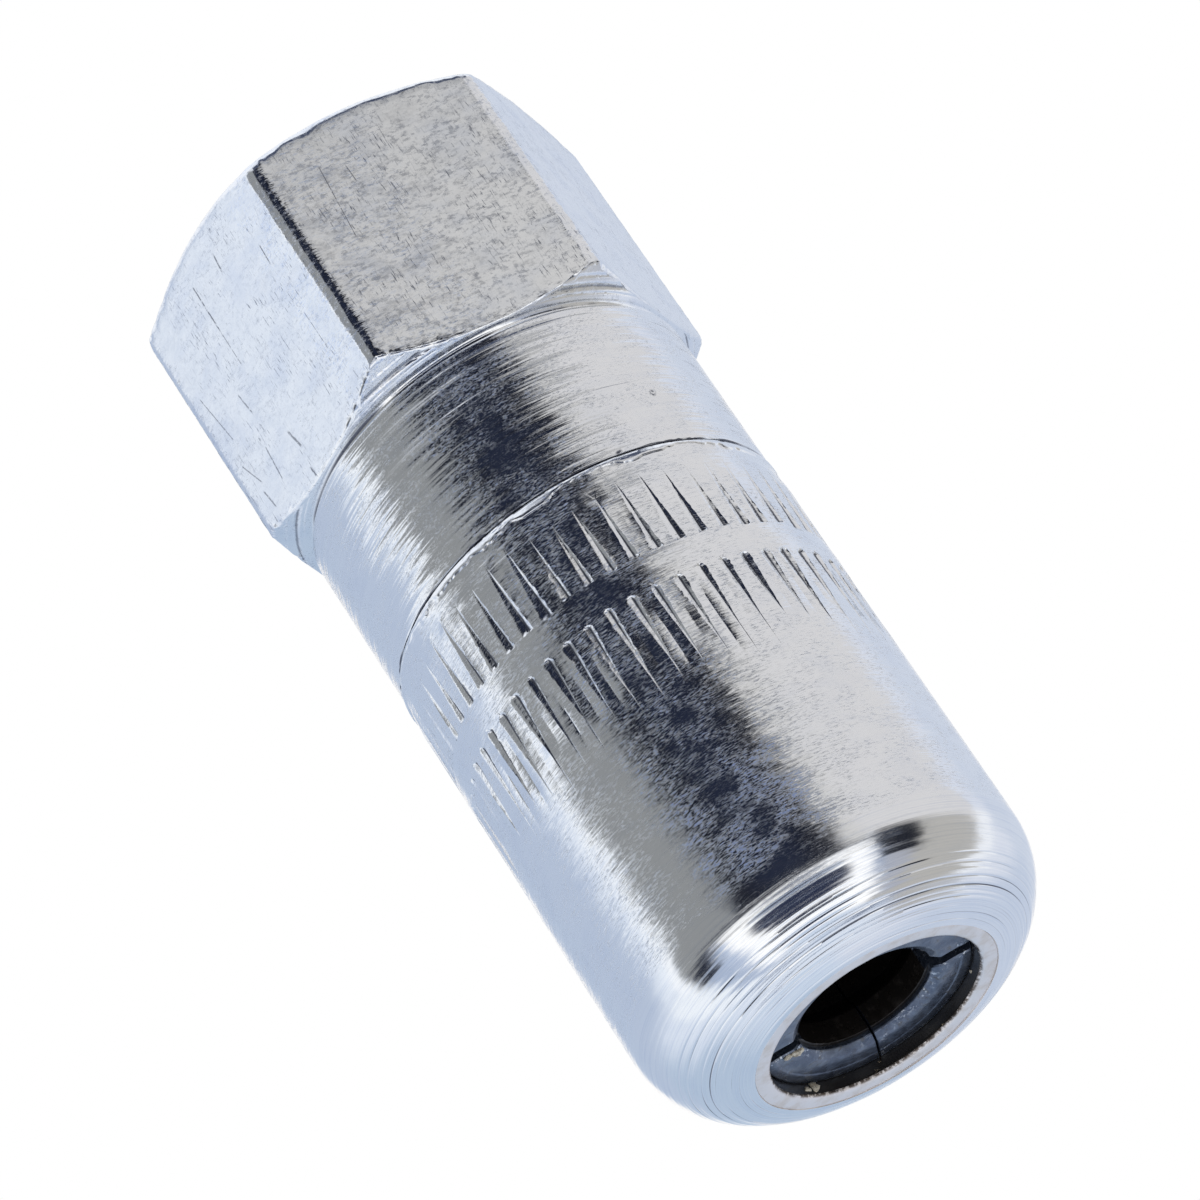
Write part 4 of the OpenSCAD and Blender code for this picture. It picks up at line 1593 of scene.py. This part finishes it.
@dataclass
class Studio:
    """Camera, light and floor."""

    target: Triple = (0.0, 0.0, 17.1)
    azimuth: float = 18.3
    elevation: float = 29.25
    roll: float = 146.24
    distance: float = 230.0
    shift_right: float = 0.556
    shift_up: float = -0.726
    lens: float = 200.7
    plating: Triple = (0.85, 0.87, 0.895)
    base: Colour = linear(205, 214, 230)
    bar_colour: Colour = linear(74, 86, 116)
    bar_place: float = 0.156
    bar_bend: float = 2.2
    bar_half: float = 0.028
    floor_r: float = 2.5
    floor_z: float = -0.00004
    floor_sides: int = 64
    panels: tuple[Panel, ...] = (
        Panel(-200, -112, -95, 95, (212, 218, 231)),
        Panel(72, 200, -95, 95, (213, 222, 237)),
        Panel(120, 230, -10, 52, (172, 189, 211), soft=34),
        Panel(150, 230, 44, 72, (196, 209, 227), soft=18),
        Panel(-230, -138, -10, 56, (189, 200, 219), soft=18),
        Panel(-112, -50, -20, 66, (175, 174, 172)),
        Panel(-128, -108, 42, 66, (180, 183, 190), soft=7),
        Panel(-121, -110, -12, 42, (232, 236, 243), soft=6),
        Panel(-56, 54, 2, 67, (252, 253, 255), soft=8, glow=1.05),
        Panel(-30, 24, 50, 53.5, (214, 222, 236), soft=3),
        Panel(-24, 60, 61, 64, (216, 224, 238), soft=3),
        Panel(44, 57, 10, 48, (176, 190, 214), soft=9),
        Panel(-59, -47, 4, 48, (158, 170, 192), soft=7),
        Panel(-75, -50, 0, 27, (30, 33, 42), soft=7),
        Panel(53, 73, 4, 27, (30, 34, 48), soft=7),
        Panel(-72, -54, 27, 60, (166, 170, 182), soft=9),
        Panel(54, 74, 27, 66, (164, 178, 203), soft=9),
        Panel(71, 94, 6, 66, (234, 240, 248), soft=8),
        Panel(-33, 30, 13, 45, (38, 45, 68), oval=True),
        Panel(-29, 27, 18.0, 21.5, (196, 208, 228), soft=2.5),
        Panel(-112, -28, -95, 4.6, (209, 209, 212), soft=2.5, lean=0.083),
        Panel(28, 73, -95, 7.5, (138, 141, 144), soft=2.5),
        Panel(-46, -26, -95, 4, (203, 203, 204), soft=7),
        Panel(-60, -33, -95, -34.3, (174, 175, 177), soft=1.6),
        Panel(-62, 60, 3.5, 8.8, (66, 71, 83), soft=3),
        Panel(-50, 46, 8.8, 12.4, (252, 253, 255), soft=2.5),
        Panel(-33, 29, -95, 7, (25, 28, 39), soft=7),
        Panel(-16, 13, -40, 1, (33, 39, 56), soft=16),
        Panel(71, 91, -95, 2, (226, 234, 246), soft=6),
        Panel(72, 79, -95, 20, (244, 248, 254)),
        Panel(90, 158, -95, 0, (177, 190, 212), soft=22),
        Panel(132, 158, -95, -2, (176, 190, 212), soft=14),
        Panel(160, 200, -95, -12, (246, 246, 247), soft=9),
        Panel(-200, -166, -95, -12, (238, 239, 242), soft=9),
        Panel(-166, -124, -95, -4, (198, 207, 223), soft=10),
        Panel(-200, 200, -95, -48, (236, 241, 250), soft=14),
        Panel(-200, 200, 72, 95, (214, 223, 237), soft=8),
        Panel(-50, 38, 69, 95, (196, 210, 230), soft=7),
        Panel(-95, 0, -62, -45, (66, 74, 95), soft=6),
    )

    def camera(self) -> None:
        """Puts the camera where the photograph was taken from."""
        a, e = math.radians(self.azimuth), math.radians(self.elevation)
        back = Vector((math.sin(a) * math.cos(e), -math.cos(a) * math.cos(e), math.sin(e)))
        turn = (-back).to_track_quat("-Z", "Y").to_matrix().to_4x4()
        turn = turn @ Matrix.Rotation(math.radians(self.roll), 4, "Z")
        right, up, out = (turn.col[i].to_3d() for i in range(3))
        spot = Vector(self.target) + right * self.shift_right + up * self.shift_up + out * self.distance
        data = bpy.data.cameras.new("camera")
        data.lens = self.lens
        data.sensor_width = 36.0
        data.clip_start, data.clip_end = 0.01, 10.0
        eye = bpy.data.objects.new("camera", data)
        eye.matrix_world = Matrix.Translation(spot * METRE) @ turn
        bpy.context.scene.collection.objects.link(eye)
        bpy.context.scene.camera = eye

    def light(self) -> None:
        """Makes the soft studio that the plating reflects, and a plain backdrop for the camera."""
        world = bpy.data.worlds.new("studio")
        world.use_nodes = True
        bpy.context.scene.world = world
        graph = Graph(world.node_tree)
        x, y, z = graph.parts(graph.node("ShaderNodeTexCoord", output="Generated"))
        turn = math.radians(self.azimuth - 90)
        c, s = math.cos(turn), math.sin(turn)
        forward, across = x * c + y * s, y * c - x * s
        azimuth = graph.math("ARCTAN2", across, forward) * math.degrees(1)
        elevation = graph.math("ARCSINE", z) * math.degrees(1)
        colour: Any = self.base
        for panel in self.panels:
            colour = graph.mix(panel.mask(azimuth, elevation), colour, panel.light(self.plating))
        bend = abs(forward + across * across * self.bar_bend - self.bar_place)
        bar = bend.rise(self.bar_half + 0.02, self.bar_half) * z.rise(0.86, 0.92)
        colour = graph.mix(bar, colour, self.bar_colour)
        seen = graph.node("ShaderNodeLightPath", output="Is Camera Ray")
        studio = graph.node("ShaderNodeBackground", None, {"Color": colour, "Strength": 1.0})
        plain = graph.node("ShaderNodeBackground", None, {"Color": WHITE, "Strength": 1.0})
        both = graph.node("ShaderNodeMixShader", None, {0: seen, 1: studio, 2: plain})
        graph.add("ShaderNodeOutputWorld", None, {0: both})
        bpy.context.scene.view_settings.view_transform = "Standard"
        bpy.context.scene.view_settings.look = "None"

    def floor(self) -> None:
        """Lays a plain white floor that the plating doesn't mirror and that is clear from below."""
        material = bpy.data.materials.new("floor_white")
        material.use_nodes = True
        graph = Graph(material.node_tree)
        below = graph.node("ShaderNodeNewGeometry", output="Backfacing")
        white = graph.node("ShaderNodeEmission", None, {"Color": WHITE, "Strength": 1.0})
        clear = graph.node("ShaderNodeBsdfTransparent")
        both = graph.node("ShaderNodeMixShader", None, {0: below, 1: white, 2: clear})
        graph.add("ShaderNodeOutputMaterial", None, {0: both})
        angles = np.linspace(0, math.tau, self.floor_sides + 1)[:-1]
        spots = [(self.floor_r * math.cos(a), self.floor_r * math.sin(a), self.floor_z) for a in angles]
        mesh = bpy.data.meshes.new("floor")
        mesh.from_pydata(spots, [], [tuple(range(self.floor_sides))])
        mesh.materials.append(material)
        plane = bpy.data.objects.new("floor", mesh)
        plane.visible_glossy = False
        bpy.context.scene.collection.objects.link(plane)


HEX_SCRATCHES = tuple(Scratch(*mark) for mark in (
    (-30, (0.94, 1.5), (0.97, 3.6), 0.045, 0.8), (-30, (0.97, 3.5), (0.99, 5.3), 0.03, 0.6),
    (-30, (-2.8, 3.2), (-2.74, 4.1), 0.04, 0.75), (-30, (-0.73, 1.6), (-0.63, 2.35), 0.05, 0.75),
    (-30, (3.58, 4.4), (3.27, 6.7), 0.035, 0.6), (-30, (-2.82, 6.5), (-2.83, 8.3), 0.025, 0.6),
    (-30, (1.92, 5.8), (1.8, 6.8), 0.045, 0.65), (-30, (0.88, 8.6), (0.7, 9.5), 0.07, 0.7),
    (-30, (2.16, 8.1), (2.3, 9.5), 0.04, 0.65), (-30, (3.62, 7.6), (3.2, 8.8), 0.04, 0.6),
    (-30, (3.38, 9.05), (3.26, 9.9), 0.05, 0.65), (-90, (2.17, 2.1), (2.44, 5.4), 0.025, 0.6),
    (-90, (1.33, 2.5), (1.31, 3.3), 0.03, 0.6), (-30, (0.9, 10.3), (0.87, 10.75), 0.06, 0.8),
))
COLLAR_SCRATCHES = (
    Scratch(-118.4, (-0.09, 15.36), (0.1, 15.6), 0.15, 1.0),
    Scratch(-98.3, (-0.12, 17.52), (0.14, 17.62), 0.1, 1.0),
)


def make_finishes() -> Finishes:
    """Makes every material once, by the name that the pieces ask for.

    Returns:
        The materials, by name.
    """
    made = {
        "drawn": Zinc("zinc_drawn", turned=False, hair_around=0.5, hair_along=0.3, hair_tilt=0.05,
                      stroke_around=0.2, stroke_along=0.12, stroke_tilt=0.03, haze=0.2,
                      line_shade=0.3, fleck=0.1, mottle=0.4, dashes=0.9, scratches=HEX_SCRATCHES),
        "turned": Zinc("zinc_turned", hair_around=2.6, hair_along=0.075, hair_tilt=0.62, hair_detail=1.2,
                       stroke_tilt=0.08, stroke_around=0.14, line_shade=0.6, scratches=COLLAR_SCRATCHES),
        "sleeve": Zinc("zinc_sleeve", calm_nose=True),
        "land": Steel("land_satin", (0.86, 0.82, 0.80, 1.0), (0.76, 0.71, 0.67, 1.0), 0.36, 1.2, 0.09, 0.05),
        # A near-black grease film on the mouth wall, which also stands in for the shade there.
        "mouth": Grease("mouth_grease_and_shade"),
        "crumb": Grease("dried_grease", (0.40, 0.35, 0.26, 1.0), (0.68, 0.63, 0.51, 1.0), 0.45, 0.0),
        "bore": Steel("bore_steel", (0.62, 0.65, 0.69, 1.0), (0.45, 0.47, 0.50, 1.0), 0.3),
        "thread": Zinc("zinc_thread", polish=0.2, hair_tilt=0.2),
        Slot.BRIGHT.value: Steel("bright_steel_dressed"),
        Slot.SPRING.value: Steel("spring_steel_dressed", (0.42, 0.42, 0.44, 1.0),
                                 (0.2, 0.2, 0.21, 1.0), 0.26),
        Slot.JAW.value: OiledSteel("jaw_steel_dressed"),
        Slot.NITRILE.value: Rubber("nitrile_dressed"),
        Slot.PLASTIC.value: Plastic("white_plastic_dressed"),
    }
    return {key: finish.material() for key, finish in made.items()}


def main() -> None:
    """Builds the studio and every piece."""
    logging.basicConfig(level=logging.INFO, format="%(name)s %(message)s")
    studio = Studio()
    studio.camera()
    studio.light()
    studio.floor()
    finishes = make_finishes()
    HexBody().build(finishes)
    NoseSleeve().build(finishes)
    JawCollet().build(finishes[Slot.JAW.value])
    Crumbs().build(finishes["crumb"])
    Coil("main_spring", "piston_retreat", 2.0, 0.75, 4.5).build(finishes[Slot.SPRING.value])
    Coil("check_spring", "ball_lift", 0.8, 0.36, 3.5, held_low=False).build(finishes[Slot.SPRING.value])
    Dressing().dress(finishes)


if __name__ == "__main__":
    main()
